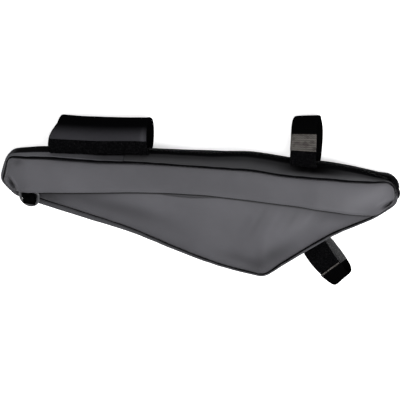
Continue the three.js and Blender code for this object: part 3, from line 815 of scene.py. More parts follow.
def new_group(
    name: str, inputs: tuple[tuple[str, str, float], ...], outputs: tuple[str, ...]
) -> tuple[bpy.types.NodeTree, Wiring, bpy.types.Node, bpy.types.Node]:
    """An empty shader group with named sockets.

    Args:
        name: Name of the group.
        inputs: Name, socket kind and default of each input.
        outputs: Names of the value outputs.

    Returns:
        The group, its wiring and its two end nodes.
    """
    tree = bpy.data.node_groups.new(name, "ShaderNodeTree")
    for label, kind, default in inputs:
        socket = tree.interface.new_socket(name=label, in_out="INPUT", socket_type=kind)
        if kind == "NodeSocketFloat":
            socket.default_value = default
    for label in outputs:
        tree.interface.new_socket(name=label, in_out="OUTPUT", socket_type="NodeSocketFloat")
    wires = Wiring(tree)
    return tree, wires, wires.add("NodeGroupInput"), wires.add("NodeGroupOutput")


class Effects:
    """The effects that several finishes share, each a node group built once."""

    def __init__(self) -> None:
        """Builds the groups."""
        self.weave = self._weave()
        self.ribs = self._ribs()
        self.fuzz = self._fuzz()
        self.blotch = self._blotch()

    @staticmethod
    def _weave() -> bpy.types.NodeTree:
        """A plain weave: threads that pass over and under each other."""
        tree, wires, start, end = new_group(
            "plain_weave", (("Vector", "NodeSocketVector", 0.0), ("Pitch", "NodeSocketFloat", 0.0006)),
            ("Height",))
        parts = wires.add("ShaderNodeSeparateXYZ")
        wires.join(start.outputs["Vector"], parts.inputs[0])
        along = wires.math("DIVIDE", parts.outputs[0], start.outputs["Pitch"])
        across = wires.math("DIVIDE", parts.outputs[1], start.outputs["Pitch"])
        cells = wires.math("ADD", wires.math("FLOOR", along), wires.math("FLOOR", across))
        turn = wires.math("FLOORED_MODULO", cells, 2.0)
        first = wires.math("MULTIPLY", wires.waves(along), turn)
        second = wires.math("MULTIPLY", wires.waves(across), wires.math("SUBTRACT", 1.0, turn))
        wires.join(wires.math("ADD", first, second), end.inputs["Height"])
        return tree

    @staticmethod
    def _ribs() -> bpy.types.NodeTree:
        """Cross ribs of webbing, broken into columns."""
        tree, wires, start, end = new_group(
            "webbing_ribs",
            (("Vector", "NodeSocketVector", 0.0), ("Pitch", "NodeSocketFloat", 0.0019),
             ("Column", "NodeSocketFloat", 0.0024)), ("Height",))
        parts = wires.add("ShaderNodeSeparateXYZ")
        wires.join(start.outputs["Vector"], parts.inputs[0])
        column = wires.math("DIVIDE", parts.outputs[1], start.outputs["Column"])
        shift = wires.math("MULTIPLY", wires.math("FLOORED_MODULO", wires.math("FLOOR", column), 2.0), 0.32)
        row = wires.math("ADD", wires.math("DIVIDE", parts.outputs[0], start.outputs["Pitch"]), shift)
        body = wires.math("ADD", wires.math("MULTIPLY", wires.waves(column), 0.35), 0.65)
        wires.join(wires.math("MULTIPLY", wires.waves(row), body), end.inputs["Height"])
        return tree

    @staticmethod
    def _fuzz() -> bpy.types.NodeTree:
        """Tangled loops of pile: height, and a mask of the tips that catch light."""
        tree, wires, start, end = new_group(
            "pile_fuzz", (("Vector", "NodeSocketVector", 0.0), ("Size", "NodeSocketFloat", 0.0011)),
            ("Height", "Tips"))
        scale = wires.math("DIVIDE", 1.0, start.outputs["Size"])
        grow = wires.add("ShaderNodeVectorMath", operation="SCALE")
        wires.join(start.outputs["Vector"], grow.inputs[0])
        wires.join(scale, grow.inputs["Scale"])
        curls = wires.add("ShaderNodeTexVoronoi", feature="F1")
        curls.inputs["Scale"].default_value = 1.0
        wires.join(grow.outputs[0], curls.inputs["Vector"])
        hairs = wires.noise(grow.outputs[0], 1.7, 4.0, 0.7)
        mound = wires.math("SUBTRACT", 1.0, curls.outputs["Distance"])
        height = wires.math("ADD", wires.math("MULTIPLY", mound, 0.5), wires.math("MULTIPLY", hairs, 0.8))
        wires.join(height, end.inputs["Height"])
        wires.join(wires.ramp(hairs, 0.56, 0.70, 0.0, 1.0), end.inputs["Tips"])
        return tree

    @staticmethod
    def _blotch() -> bpy.types.NodeTree:
        """Slow unevenness of a coated cloth, and the finer grain of its coat."""
        tree, wires, start, end = new_group(
            "coat_blotch", (("Vector", "NodeSocketVector", 0.0),), ("Slow", "Grain"))
        wires.join(wires.noise(start.outputs["Vector"], 22.0, 3.0), end.inputs["Slow"])
        wires.join(wires.noise(start.outputs["Vector"], 900.0, 2.0), end.inputs["Grain"])
        return tree


@dataclass(frozen=True)
class Finish:
    """A finish with its main values. Kinds below add how they are drawn."""

    name: str
    colour: tuple[float, float, float]
    roughness: float

    def start(self) -> tuple[bpy.types.Material, Wiring, bpy.types.Node]:
        """A new material with its wiring and its shader.

        Returns:
            The material, its wiring and the Principled shader.
        """
        material = bpy.data.materials.new(self.name)
        material.use_nodes = True
        shader = material.node_tree.nodes["Principled BSDF"]
        shader.inputs["Roughness"].default_value = self.roughness
        shader.inputs["Base Color"].default_value = (*self.colour, 1.0)
        material.diffuse_color = (*self.colour, 1.0)
        return material, Wiring(material.node_tree), shader

    def shade(self, share: float) -> tuple[float, float, float, float]:
        """The finish's colour times a share."""
        return (self.colour[0] * share, self.colour[1] * share, self.colour[2] * share, 1.0)


def place_group(
    wires: Wiring, group: bpy.types.NodeTree, vector: bpy.types.NodeSocket, **values: float
) -> bpy.types.Node:
    """Places an effect in a material with its own values.

    Args:
        wires: The material's wiring.
        group: The effect.
        vector: What the effect reads.
        **values: Its other inputs.

    Returns:
        The group's node.
    """
    node = wires.add("ShaderNodeGroup", node_tree=group)
    wires.join(vector, node.inputs["Vector"])
    for key, value in values.items():
        node.inputs[key].default_value = value
    return node


def bump(wires: Wiring, shader: bpy.types.Node, height: object, depth: float, strength: float = 1.0) -> None:
    """Feeds a height to the shader's normal.

    Args:
        wires: The material's wiring.
        shader: The Principled shader.
        height: The height's socket.
        depth: Its real depth in millimetres.
        strength: How strongly it shows.
    """
    node = wires.add("ShaderNodeBump")
    node.inputs["Strength"].default_value = strength
    node.inputs["Distance"].default_value = depth * MM
    wires.feed(node.inputs["Height"], height)
    wires.join(node.outputs[0], shader.inputs["Normal"])


@dataclass(frozen=True)
class CoatedCloth(Finish):
    """Woven cloth under a thin matt coat."""

    on_uv: bool = False
    gloss: float = 0.2
    thread: float = 0.00055
    uneven: tuple[float, float] = (0.93, 1.06)
    relief: float = 0.05

    def build(self, effects: Effects) -> bpy.types.Material:
        """Draws the cloth: fine weave, grain of the coat, slow unevenness, and the painted shade and light
        that its shade mask holds.

        Args:
            effects: The shared groups.

        Returns:
            The material.
        """
        material, wires, shader = self.start()
        spots = wires.spots()
        cloth = wires.cloth() if self.on_uv else spots
        weave = place_group(wires, effects.weave, cloth, Pitch=self.thread)
        blotch = place_group(wires, effects.blotch, spots)
        tone = wires.ramp(blotch.outputs["Slow"], 0.3, 0.7, 0.0, 1.0)
        colour = wires.tint(tone, self.shade(self.uneven[0]), self.shade(self.uneven[1]))
        rough = wires.ramp(blotch.outputs["Slow"], 0.3, 0.7, self.roughness - 0.04, self.roughness + 0.05)
        # Painted shade and light: the colour is scaled by one minus the shade mask.
        dim = wires.add("ShaderNodeVectorMath", operation="SCALE")
        wires.join(colour, dim.inputs[0])
        wires.join(wires.math("SUBTRACT", 1.0, wires.mask("shade")), dim.inputs["Scale"])
        wires.join(dim.outputs[0], shader.inputs["Base Color"])
        wires.join(rough, shader.inputs["Roughness"])
        shader.inputs["Specular IOR Level"].default_value = self.gloss
        fine = wires.math("ADD", wires.math("MULTIPLY", weave.outputs["Height"], 0.6),
                          wires.math("MULTIPLY", blotch.outputs["Grain"], 0.9))
        bump(wires, shader, fine, self.relief, 0.6)
        return material


@dataclass(frozen=True)
class Webbing(Finish):
    """Ribbed nylon webbing, with a painted sheen where a mask says so: paler, with specks of pile."""

    # Colours of the painted sheen on the strap's front, and of the gaps and specks in it.
    sheen_patch: tuple[float, float, float] = (0.085, 0.079, 0.074)
    sheen_patch_gap: tuple[float, float, float] = (0.014, 0.013, 0.012)
    sheen_patch_speck: tuple[float, float, float] = (0.13, 0.123, 0.118)
    patch_rough: float = 0.5
    patch_pile: float = 0.0007
    rib: float = 0.0017
    column: float = 0.0013
    relief: float = 0.35

    def build(self, effects: Effects) -> bpy.types.Material:
        """Draws the ribs and the painted sheen.

        Args:
            effects: The shared groups.

        Returns:
            The material.
        """
        material, wires, shader = self.start()
        cloth, spots = wires.cloth(), wires.spots()
        ribs = place_group(wires, effects.ribs, cloth, Pitch=self.rib, Column=self.column)
        fuzz = place_group(wires, effects.fuzz, spots, Size=self.patch_pile)
        edge = wires.ramp(wires.mask("sheen_patch"), 0.4, 0.6, 0.0, 1.0)
        plain = wires.tint(ribs.outputs["Height"], self.shade(0.3), self.shade(1.6))
        uneven = wires.ramp(wires.noise(spots, 260.0, 3.0), 0.32, 0.62, 0.35, 1.25)
        shown = wires.math("MULTIPLY", ribs.outputs["Height"], uneven)
        # Painted sheen: paler ribs where the mask is set.
        sheen_ribs = wires.tint(shown, (*self.sheen_patch_gap, 1.0), (*self.sheen_patch, 1.0))
        speck = wires.tint(wires.math("MULTIPLY", fuzz.outputs["Tips"], 0.5), sheen_ribs, (*self.sheen_patch_speck, 1.0))
        wires.join(wires.tint(edge, plain, speck), shader.inputs["Base Color"])
        wires.join(wires.ramp(edge, 0.0, 1.0, self.roughness, self.patch_rough), shader.inputs["Roughness"])
        shader.inputs["Specular IOR Level"].default_value = 0.0
        bump(wires, shader, ribs.outputs["Height"], self.relief, 0.9)
        return material


@dataclass(frozen=True)
class Pile(Finish):
    """Loop pile: dark tangled loops with paler tips."""

    tips: tuple[float, float, float] = (0.05, 0.05, 0.052)
    size: float = 0.0011
    relief: float = 0.8

    def build(self, effects: Effects) -> bpy.types.Material:
        """Draws the pile.

        Args:
            effects: The shared groups.

        Returns:
            The material.
        """
        material, wires, shader = self.start()
        spots = wires.spots()
        fuzz = place_group(wires, effects.fuzz, spots, Size=self.size)
        wires.join(wires.tint(fuzz.outputs["Tips"], self.shade(1.0), (*self.tips, 1.0)),
                   shader.inputs["Base Color"])
        shader.inputs["Specular IOR Level"].default_value = 0.0
        bump(wires, shader, fuzz.outputs["Height"], self.relief)
        return material


@dataclass(frozen=True)
class Knit(Finish):
    """Smooth knitted face of the wide wrap, with a painted sheen: paler where a mask says so."""

    lit: tuple[float, float, float] = (0.026, 0.0255, 0.029)
    stitch: float = 0.0008
    relief: float = 0.12

    def build(self, effects: Effects) -> bpy.types.Material:
        """Draws the fine knit and its soft sheen, which is painted into the colour.

        Args:
            effects: The shared groups.

        Returns:
            The material.
        """
        material, wires, shader = self.start()
        cloth, spots = wires.cloth(), wires.spots()
        weave = place_group(wires, effects.weave, cloth, Pitch=self.stitch)
        blotch = place_group(wires, effects.blotch, spots)
        tone = wires.math("MULTIPLY", weave.outputs["Height"], blotch.outputs["Slow"])
        # Painted sheen: the lit colours, used where the mask is set.
        painted_light = wires.tint(tone, (*self.lit, 1.0), tuple(1.7 * c for c in self.lit) + (1.0,))
        wires.join(wires.tint(wires.mask("sheen_patch"), self.shade(1.0), painted_light), shader.inputs["Base Color"])
        shader.inputs["Specular IOR Level"].default_value = 0.0
        bump(wires, shader, weave.outputs["Height"], self.relief, 0.7)
        return material


@dataclass(frozen=True)
class Moulded(Finish):
    """Moulded plastic or nylon with a fine grain."""

    grain: float = 0.03
    rubbed: float = 0.06

    def build(self, effects: Effects) -> bpy.types.Material:
        """Draws the grain and the rubbed tone.

        Args:
            effects: The shared groups.

        Returns:
            The material.
        """
        material, wires, shader = self.start()
        spots = wires.spots()
        blotch = place_group(wires, effects.blotch, spots)
        wires.join(wires.tint(blotch.outputs["Slow"], self.shade(0.8), self.shade(1.25)),
                   shader.inputs["Base Color"])
        dull, shiny = self.roughness + self.rubbed, self.roughness - self.rubbed
        wires.join(wires.ramp(blotch.outputs["Slow"], 0.3, 0.7, shiny, dull), shader.inputs["Roughness"])
        bump(wires, shader, blotch.outputs["Grain"], self.grain, 0.5)
        return material


# The bag's body.


@dataclass(frozen=True)
class Fold:
    """A soft swell or dent: centre, reach, turn in degrees and rise in millimetres."""

    along: float
    down: float
    long: float
    short: float
    turn: float
    rise: float

    def at(self, x: np.ndarray, y: np.ndarray) -> np.ndarray:
        """Height of the fold at places on the panel.

        Args:
            x: Places along the bag.
            y: Places across it.

        Returns:
            The heights in millimetres.
        """
        c, s = math.cos(math.radians(self.turn)), math.sin(math.radians(self.turn))
        dx, dy = x - self.along * BAG_LENGTH, y + self.down * PANEL_HEIGHT
        first, second = (dx * c + dy * s) / self.long, (dy * c - dx * s) / self.short
        return self.rise * np.exp(-first**2 - second**2)


PANEL_FOLDS = (
    Fold(0.668, 0.82, 24.0, 5.5, 84.0, 1.3),
    Fold(0.622, 0.87, 20.0, 6.5, -14.0, -1.2),
    Fold(0.355, 0.47, 30.0, 7.0, -12.0, -0.8),
    Fold(0.735, 0.52, 24.0, 16.0, 30.0, 0.9),
    Fold(0.640, 0.45, 20.0, 3.6, 62.0, 0.35),
    Fold(0.612, 0.50, 18.0, 3.8, 60.0, -0.30),
    Fold(0.790, 0.43, 16.0, 3.4, 58.0, 0.30),
    Fold(0.820, 0.46, 14.0, 3.6, 55.0, -0.35),
    Fold(0.52, 0.62, 26.0, 9.0, -20.0, 0.5),
    Fold(0.46, 0.36, 30.0, 5.0, -8.0, -0.3),
)

# Painted shading of the lower panel's dents and swells, as folds whose rise is a share of darkness; negative
# rises are painted light.
PANEL_PAINTED_SHADING = (
    Fold(0.340, 0.46, 40.0, 10.0, -14.0, 0.26),
    Fold(0.612, 0.85, 24.0, 8.0, -14.0, 0.28),
    Fold(0.694, 0.77, 26.0, 9.0, 36.0, 0.46),
    Fold(0.735, 0.52, 26.0, 14.0, 40.0, -0.17),
    Fold(0.860, 0.44, 20.0, 6.0, 22.0, -0.06),
    Fold(0.230, 0.38, 44.0, 9.0, -12.0, 0.26),
    Fold(0.120, 0.38, 16.0, 7.0, -14.0, 0.36),
    Fold(0.660, 0.42, 15.0, 3.0, 62.0, 0.13),
    Fold(0.700, 0.40, 15.0, 3.4, 60.0, -0.12),
    Fold(0.745, 0.38, 14.0, 3.4, 58.0, 0.15),
    Fold(0.785, 0.36, 12.0, 3.2, 52.0, -0.15),
    Fold(0.820, 0.37, 14.0, 3.4, 46.0, 0.06),
)

# Painted shadow under the band's lower edge. Columns: along, its darkness just below the band's edge, how
# far down it reaches in millimetres.
BAND_SHADE = np.array([
    (0.0, 0.75, 6.0), (0.08, 0.75, 7.0), (0.16, 0.62, 6.0), (0.27, 0.42, 4.5), (0.36, 0.22, 2.2),
    (0.60, 0.24, 2.4), (0.72, 0.40, 4.0), (0.85, 0.52, 6.0), (0.95, 0.45, 6.0), (1.0, 0.30, 4.0)])

# Shading painted on the band, as folds whose rise is a share of darkness: painted shade in its puckered ends
# and near the nose, painted light towards the rear end, and a broad darker stretch along its middle.
BAND_PAINTED_SHADING = (
    Fold(0.022, 0.292, 6.5, 1.7, -48.0, 0.85),
    Fold(0.974, 0.250, 5.5, 1.6, 32.0, 0.80),
    Fold(0.034, 0.075, 7.0, 3.6, 25.0, 0.30),
    Fold(0.982, 0.225, 6.0, 0.9, 48.0, 0.70),
    Fold(0.945, 0.150, 22.0, 11.0, 10.0, -0.21),
    Fold(0.84, 0.17, 34.0, 11.0, -4.0, 0.03),
    Fold(0.50, 0.10, 120.0, 18.0, -2.0, 0.17),
)

BAND_FOLDS = (
    Fold(0.023, 0.290, 7.0, 2.0, -48.0, -5.0),
    Fold(0.029, 0.255, 7.0, 1.4, -48.0, 1.0),
    Fold(0.972, 0.250, 6.0, 1.9, 32.0, -4.2),
    Fold(0.966, 0.215, 7.0, 1.5, 32.0, 0.8),
    Fold(0.034, 0.080, 6.0, 3.0, 30.0, -1.4),
    Fold(0.30, 0.12, 40.0, 7.0, -4.0, 0.25),
    Fold(0.93, 0.15, 14.0, 10.0, 10.0, 0.5),
)


@dataclass(frozen=True)
class Hem:
    """A hem folded under along a piece's edge. Places are shares of the width that the grid has."""

    flat: float
    quick: float
    tail_from: float
    tail: float
    turn: float = 0.75

    def at(self, v: np.ndarray) -> tuple[np.ndarray, np.ndarray, np.ndarray, np.ndarray]:
        """Reads the hem across the piece.

        Args:
            v: Shares across the grid.

        Returns:
            Share of the flat part, way outwards round the fold, way under, and way back on the tail.
        """
        turned = np.clip((v - self.flat) / (1 - self.flat), 0.0, 1.0)
        bend = np.pi * np.minimum(turned * self.quick, 1.0)
        tail = np.maximum(turned - self.tail_from, 0.0) * self.tail
        flat = np.clip(v / self.flat, 0.0, 1.0)
        return flat, self.turn * np.sin(bend), self.turn * (1 - np.cos(bend)), tail


@dataclass
class BagBody:
    """The sewn body: two panels, the band, the gusset and its strips, with their seams."""

    seam: SeamLine
    groove: float = 1.9
    groove_reach: float = 1.0
    inset: float = 0.48
    roll: float = 1.2
    panel_wall: float = 1.5
    gusset_wall: float = 1.3
    strip_wall: float = 0.5
    band_wall: float = 0.45
    strip_hem: Hem = Hem(0.86, 1.6, 0.625, 8.0)
    band_hem: Hem = Hem(0.88, 1.5, 0.667, 9.0)
    panel_pucker: Pucker = Pucker(0.20, 4.6, 1.6, 13.0, 4.5)
    gusset_pucker: Pucker = Pucker(0.16, 4.2, 1.8, 11.0, 6.0)
    strip_pucker: Pucker = Pucker(0.14, 4.4, 1.7, 12.0, 5.0)
    band_pucker: Pucker = Pucker(0.15, 4.9, 1.5, 14.0, 4.0)
    gusset_crowd: float = 0.75
    tuck_start: float = 0.385
    tuck_length: float = 0.19
    tuck_drop: float = 3.7
    binding_middle: float = -1.0
    binding_half: float = 1.6
    binding_rise: float = 0.35
    binding_tall: float = 2.4

    def panel_spots(self, side: Side) -> Field:
        """Where a panel's grid goes.

        Args:
            side: Front or back.

        Returns:
            The field of places in millimetres.
        """
        seam = self.seam
        face = seam.front if side is Side.FRONT else seam.back

        def place(u: np.ndarray, v: np.ndarray) -> np.ndarray:
            """Spreads the grid between the seams and lifts it to the panel's face."""
            low_x, high_x = seam.x.min() + self.inset, seam.x.max() - self.inset
            x = low_x + (high_x - low_x) * crowd(u, 0.35)
            top, low = seam.across(x)
            slope = np.minimum(self.inset * 1.3, (top - low) * 0.3)
            y = low + slope + (top - low - 2 * slope) * crowd(v, 0.5)
            gap, where = seam.distance(x, y)
            dip = self.groove * hump(gap, 0.0, self.groove_reach)
            pucker = self.panel_pucker.at(where, gap)
            body = 0.22 * ripples(x, y, 34.0, 3) * (1 - np.exp(-gap / 12.0))
            height = face(x, y)
            if side is Side.FRONT:
                edge = -seam.band_down(x / BAG_LENGTH) * PANEL_HEIGHT
                dip = dip + 0.9 * hump(y - edge, 0.6, 1.3) * (1 - hump(gap, 0.0, 4.0))
                fold = sum(item.at(x, y) for item in PANEL_FOLDS)
                z = height + (fold + body) * (1 - hump(gap, 0.0, 5.0)) + pucker - dip + self.tuck(x, y)
            else:
                z = np.maximum(0.05 * (1 + ripples(x, y, 18.0, 8)), height + dip + pucker - body)
            return np.stack([x, y, z], axis=1)

        return place

    def panel_shade(self, u: np.ndarray, v: np.ndarray, spots: np.ndarray) -> np.ndarray:
        """Painted shade and light on the front panel: painted shadow under the band's edge and in the tuck's
        crease, painted shade along the seams, and painted shading of its dents and swells.

        Args:
            u: Not used.
            v: Not used.
            spots: Its places in millimetres.

        Returns:
            The painted darkness, negative where painted light makes the cloth paler.
        """
        x, y = spots[:, 0], spots[:, 1]
        along = x / BAG_LENGTH
        below = -self.seam.band_down(along) * PANEL_HEIGHT - y
        below = below - 0.36 * (self.seam.band_lift(along) * BAND_LIFT + 1.4)
        # Painted shadow under the band's edge: a broad fall-off, a dark line just under the hem and the
        # tuck's crease.
        amount = np.interp(along, BAND_SHADE[:, 0], BAND_SHADE[:, 1])
        reach = np.interp(along, BAND_SHADE[:, 0], BAND_SHADE[:, 2])
        broad = amount * np.exp(-np.maximum(below, 0.0) / reach)
        line = 0.97 * np.exp(-(np.abs((below - 0.8) / 1.3) ** 3))
        drop, shown = self.tuck_line(along)
        crease = 0.85 * shown * hump(below, drop, 0.75)
        # Painted shade along the seams, and painted shading of the dents and swells.
        gap, _ = self.seam.distance(x, y)
        tones = sum(item.at(x, y) for item in PANEL_PAINTED_SHADING)
        lit = (1 - broad) * (1 - line) * (1 - crease) * (1 - tones) * (1 - 0.35 * np.exp(-gap / 4.5))
        return np.clip(1 - lit, -0.3, 0.97)

    def band_shade(self, u: np.ndarray, v: np.ndarray, spots: np.ndarray) -> np.ndarray:
        """Painted shade and light on the band: painted shade in its puckered ends, a crumpled stretch near
        the nose and along the seams, painted light near the rear end, and a painted highlight on the hem's
        rim.

        Args:
            u: Not used.
            v: Shares across it.
            spots: Its places in millimetres.

        Returns:
            The painted darkness, negative where painted light makes the cloth paler.
        """
        x, y = spots[:, 0], spots[:, 1]
        tones = sum(item.at(x, y) for item in BAND_PAINTED_SHADING)
        gap, _ = self.seam.distance(x, y)
        along = x / BAG_LENGTH
        middle = smoothstep(along, 0.30, 0.40) * smoothstep(0.75 - along, 0.0, 0.1)
        # Painted highlight on the hem's rim in the middle of the bag; the return adds painted shade along
        # the seams.
        rim = 0.14 * hump(v, 0.845, 0.018) * middle
        return np.clip(1 - (1 - tones) * (1 + rim) * (1 - 0.3 * np.exp(-gap / 3.0)), -0.3, 0.95)

    def tuck_line(self, along: np.ndarray) -> tuple[np.ndarray, np.ndarray]:
        """How far the tuck lies below the band's edge in millimetres, and how clearly it shows."""
        share = np.clip((along - self.tuck_start) / self.tuck_length, 0.0, 1.0)
        return self.tuck_drop * np.sin(np.pi * share) ** 0.8, np.sin(np.pi * share) ** 0.5

    def tuck(self, x: np.ndarray, y: np.ndarray) -> np.ndarray:
        """The small tuck that runs out of the band's lower edge in the middle of the bag.

        Args:
            x: Places along the bag.
            y: Places across it.

        Returns:
            Its heights in millimetres.
        """
        along = x / BAG_LENGTH
        edge = -self.seam.band_down(along) * PANEL_HEIGHT
        drop, shown = self.tuck_line(along)
        line = hump(y - edge + drop, 0.0, 0.75)
        swell = hump(y - edge + drop * 0.45, 0.0, 1.3)
        return shown * (0.45 * swell - 0.75 * line)

    def panel(self, side: Side, finish: bpy.types.Material, slot: Slot) -> bpy.types.Object:
        """One padded panel.

        Args:
            side: Front or back.
            finish: Its material.
            slot: The record's slot.

        Returns:
            The panel.
        """
        name = "front_panel" if side is Side.FRONT else "back_panel"
        masks = {"shade": self.panel_shade} if side is Side.FRONT else None
        cells = (380, 118) if side is Side.FRONT else (300, 90)
        size = (BAG_LENGTH, PANEL_HEIGHT)
        piece = grid_mesh(f"{name}_cloth", *cells, self.panel_spots(side), self.seam, size, masks=masks)
        face_way(piece, lambda spots: side.value * look_up(spots))
        thicken(piece, self.panel_wall)
        settle(piece, slot, finish, name)
        return piece

    def section(
        self, here: dict[str, np.ndarray], share: np.ndarray
    ) -> tuple[np.ndarray, np.ndarray, np.ndarray]:
        """The plain section of the gusset, without its seams and waves.

        Args:
            here: Values along the seam.
            share: Shares across the section, from the front.

        Returns:
            Distances outwards, heights, and distances from the nearer seam.
        """
        reach = here["bulge"] * section_rise(here["power"], share)
        out = SEAM_GAP / 2 + self.inset + reach * (1 - self.inset / np.maximum(here["bulge"], 2.0))
        level = here["middle"] + here["depth"] / 2 * (1 - 2 * share)
        return out, level, np.minimum(share, 1 - share) * here["depth"] + reach

    def gusset_place(self, start: float, stop: float) -> Field:
        """Where the plain gusset goes.

        Args:
            start: Length along the seam where it starts.
            stop: Length where it ends.

        Returns:
            The field of places in millimetres.
        """

        def place(u: np.ndarray, v: np.ndarray) -> np.ndarray:
            """Hangs the grid on the section, with a groove and a roll along both seams."""
            length = start + (stop - start) * u
            here = self.seam.at(length)
            share = crowd(v, self.gusset_crowd)
            out, z, from_seam = self.section(here, share)
            near_zip = 1 - smoothstep(length - start, 2.0, 16.0)
            out = out - 1.3 * near_zip * smoothstep(v * (1 - v), 0.0, 0.12)
            sign = np.where(share < 0.5, 1.0, -1.0)
            dip = self.groove * hump(from_seam, 0.0, self.groove_reach)
            crest = self.roll * hump(from_seam, 2.6, 1.5) * np.minimum(1.0, here["bulge"] / 4.0)
            z = z + sign * (crest - dip)
            waves = 0.25 * ripples(length, z, 26.0, 5) * smoothstep(from_seam, 3.0, 12.0)
            return stand(here, out + self.gusset_pucker.at(length, from_seam) + waves, z)

        return place

    def outward(self, spots: np.ndarray) -> np.ndarray:
        """Directions away from the bag's middle, for turning faces outwards.

        Args:
            spots: Places in metres.

        Returns:
            The directions, which need no set length.
        """
        centre = np.array([0.52 * BAG_LENGTH, -0.28 * PANEL_HEIGHT, 0.0]) + self.seam.offset
        way = spots - centre * MM
        way[:, 0] *= 0.3
        way[:, 2] = 0.0
        return way

    def lower_gusset(self, finish: bpy.types.Material) -> bpy.types.Object:
        """The plain gusset round the lower edges and the nose.

        Args:
            finish: Its material.

        Returns:
            The gusset.
        """
        seam = self.seam
        start = seam.edge_length(1, ZIP_END) + SEAM_GAP
        zip_start = seam.top_length(ZIP_START)
        stop = zip_start - SEAM_GAP + seam.total
        top_from = seam.total + seam.top_length(0.035)
        apex, tail_from = seam.edge_length(3, 0.0), seam.edge_length(4, 0.0)

        def dark(u: np.ndarray, v: np.ndarray, spots: np.ndarray) -> np.ndarray:
            """Painted shade across the middle of the gusset's top, inside the wrap and beyond it, and under
            the bag's belly; the gusset also darkens towards the zip's start.
            """
            length = start + (stop - start) * u
            share = crowd(v, self.gusset_crowd)
            middle = smoothstep(share, 0.15, 0.21) * smoothstep(1 - share, 0.15, 0.21)
            # Painted shade on the top's middle, and painted shade under the belly that grows outwards.
            top = 0.95 * middle * smoothstep(length, top_from - 16.0, top_from)
            below = 1 - smoothstep(length, tail_from - 10.0, tail_from + 8.0)
            left = smoothstep(length, apex - 6.0, apex + 20.0)
            under = below * (0.06 + 0.20 * left + (0.30 + 0.20 * left) * smoothstep(share, 0.10, 0.45))
            return 1 - (1 - top) * (1 - under) * (1 - 0.42 * smoothstep(length, stop - 70.0, stop))

        piece = grid_mesh(
            "lower_gusset_cloth", 460, 40, self.gusset_place(start, stop), seam, (stop - start, 60.0),
            masks={"shade": dark})
        face_way(piece, self.outward)
        thicken(piece, self.gusset_wall)
        settle(piece, Slot.GUSSET, finish, "lower_gusset")
        return piece

    def strip(self, side: Side, finish: bpy.types.Material) -> bpy.types.Object:
        """The gusset's strip on one side of the zip, with a folded hem along it.

        Args:
            side: Front or back.
            finish: Its material.

        Returns:
            The strip.
        """
        seam = self.seam
        start, stop = seam.top_length(ZIP_START), seam.edge_length(1, ZIP_END)

        def place(u: np.ndarray, v: np.ndarray) -> np.ndarray:
            """Hangs the grid on the section and folds its hem under."""
            length = start + (stop - start) * u
            here = seam.at(length)
            edge = 0.5 - HEM_FROM_MIDDLE / here["depth"]
            flat, side_way, under, tail = self.strip_hem.at(v)
            share = edge * (0.6 * flat + 0.4 * (1 - np.cos(np.pi / 2 * flat)))
            if side is Side.BACK:
                share = 1 - share
            out, z, from_seam = self.section(here, share)
            dip = self.groove * hump(from_seam, 0.0, 1.3)
            roll = 0.5 * hump(from_seam, 3.2, 2.0)
            bead = hump(flat, 0.93, 0.07) * 0.55
            out = out + bead - under + 0.18 * ripples(length, z, 22.0, 6) * flat
            z = z + side.value * (roll - dip - side_way + tail)
            return stand(here, out + self.strip_pucker.at(length, from_seam), z)

        def dark(u: np.ndarray, v: np.ndarray, spots: np.ndarray) -> np.ndarray:
            """Painted shade towards the zip, the rear strap's painted shadow, and painted light near the
            rear tip.
            """
            along = spots[:, 0] / BAG_LENGTH
            rise = np.clip(v / self.strip_hem.flat, 0.0, 1.0)
            # Painted shade towards the zip, and the rear strap's painted shadow across the strip.
            fade = 0.72 * smoothstep(rise, 0.25, 1.0)
            strap = 0.9 * hump(along, 0.765, 0.05) * smoothstep(rise, 0.15, 0.55)
            behind = smoothstep(along, 0.77, 0.79) * (1 - smoothstep(along, 0.80, 0.90))
            wedge = 0.8 * behind * smoothstep(rise, 0.2, 0.6)
            # Painted light near the rear tip.
            painted_light = 0.45 * hump(along, 0.915, 0.05) * (1 - rise)
            return np.clip(1 - (1 - fade) * (1 - strap) * (1 - wedge) * (1 + painted_light), -0.5, 0.97)

        name = "gusset_front_strip" if side is Side.FRONT else "gusset_back_strip"
        piece = grid_mesh(f"{name}_cloth", 270, 34, place, seam, (stop - start, 24.0), masks={"shade": dark})
        face_way(piece, self.outward)
        thicken(piece, self.strip_wall)
        settle(piece, Slot.GUSSET, finish, name)
        return piece

    def band(self, finish: bpy.types.Material) -> bpy.types.Object:
        """The band over the top of the front panel, with a folded lower hem.

        Args:
            finish: Its material.

        Returns:
            The band.
        """
        seam = self.seam

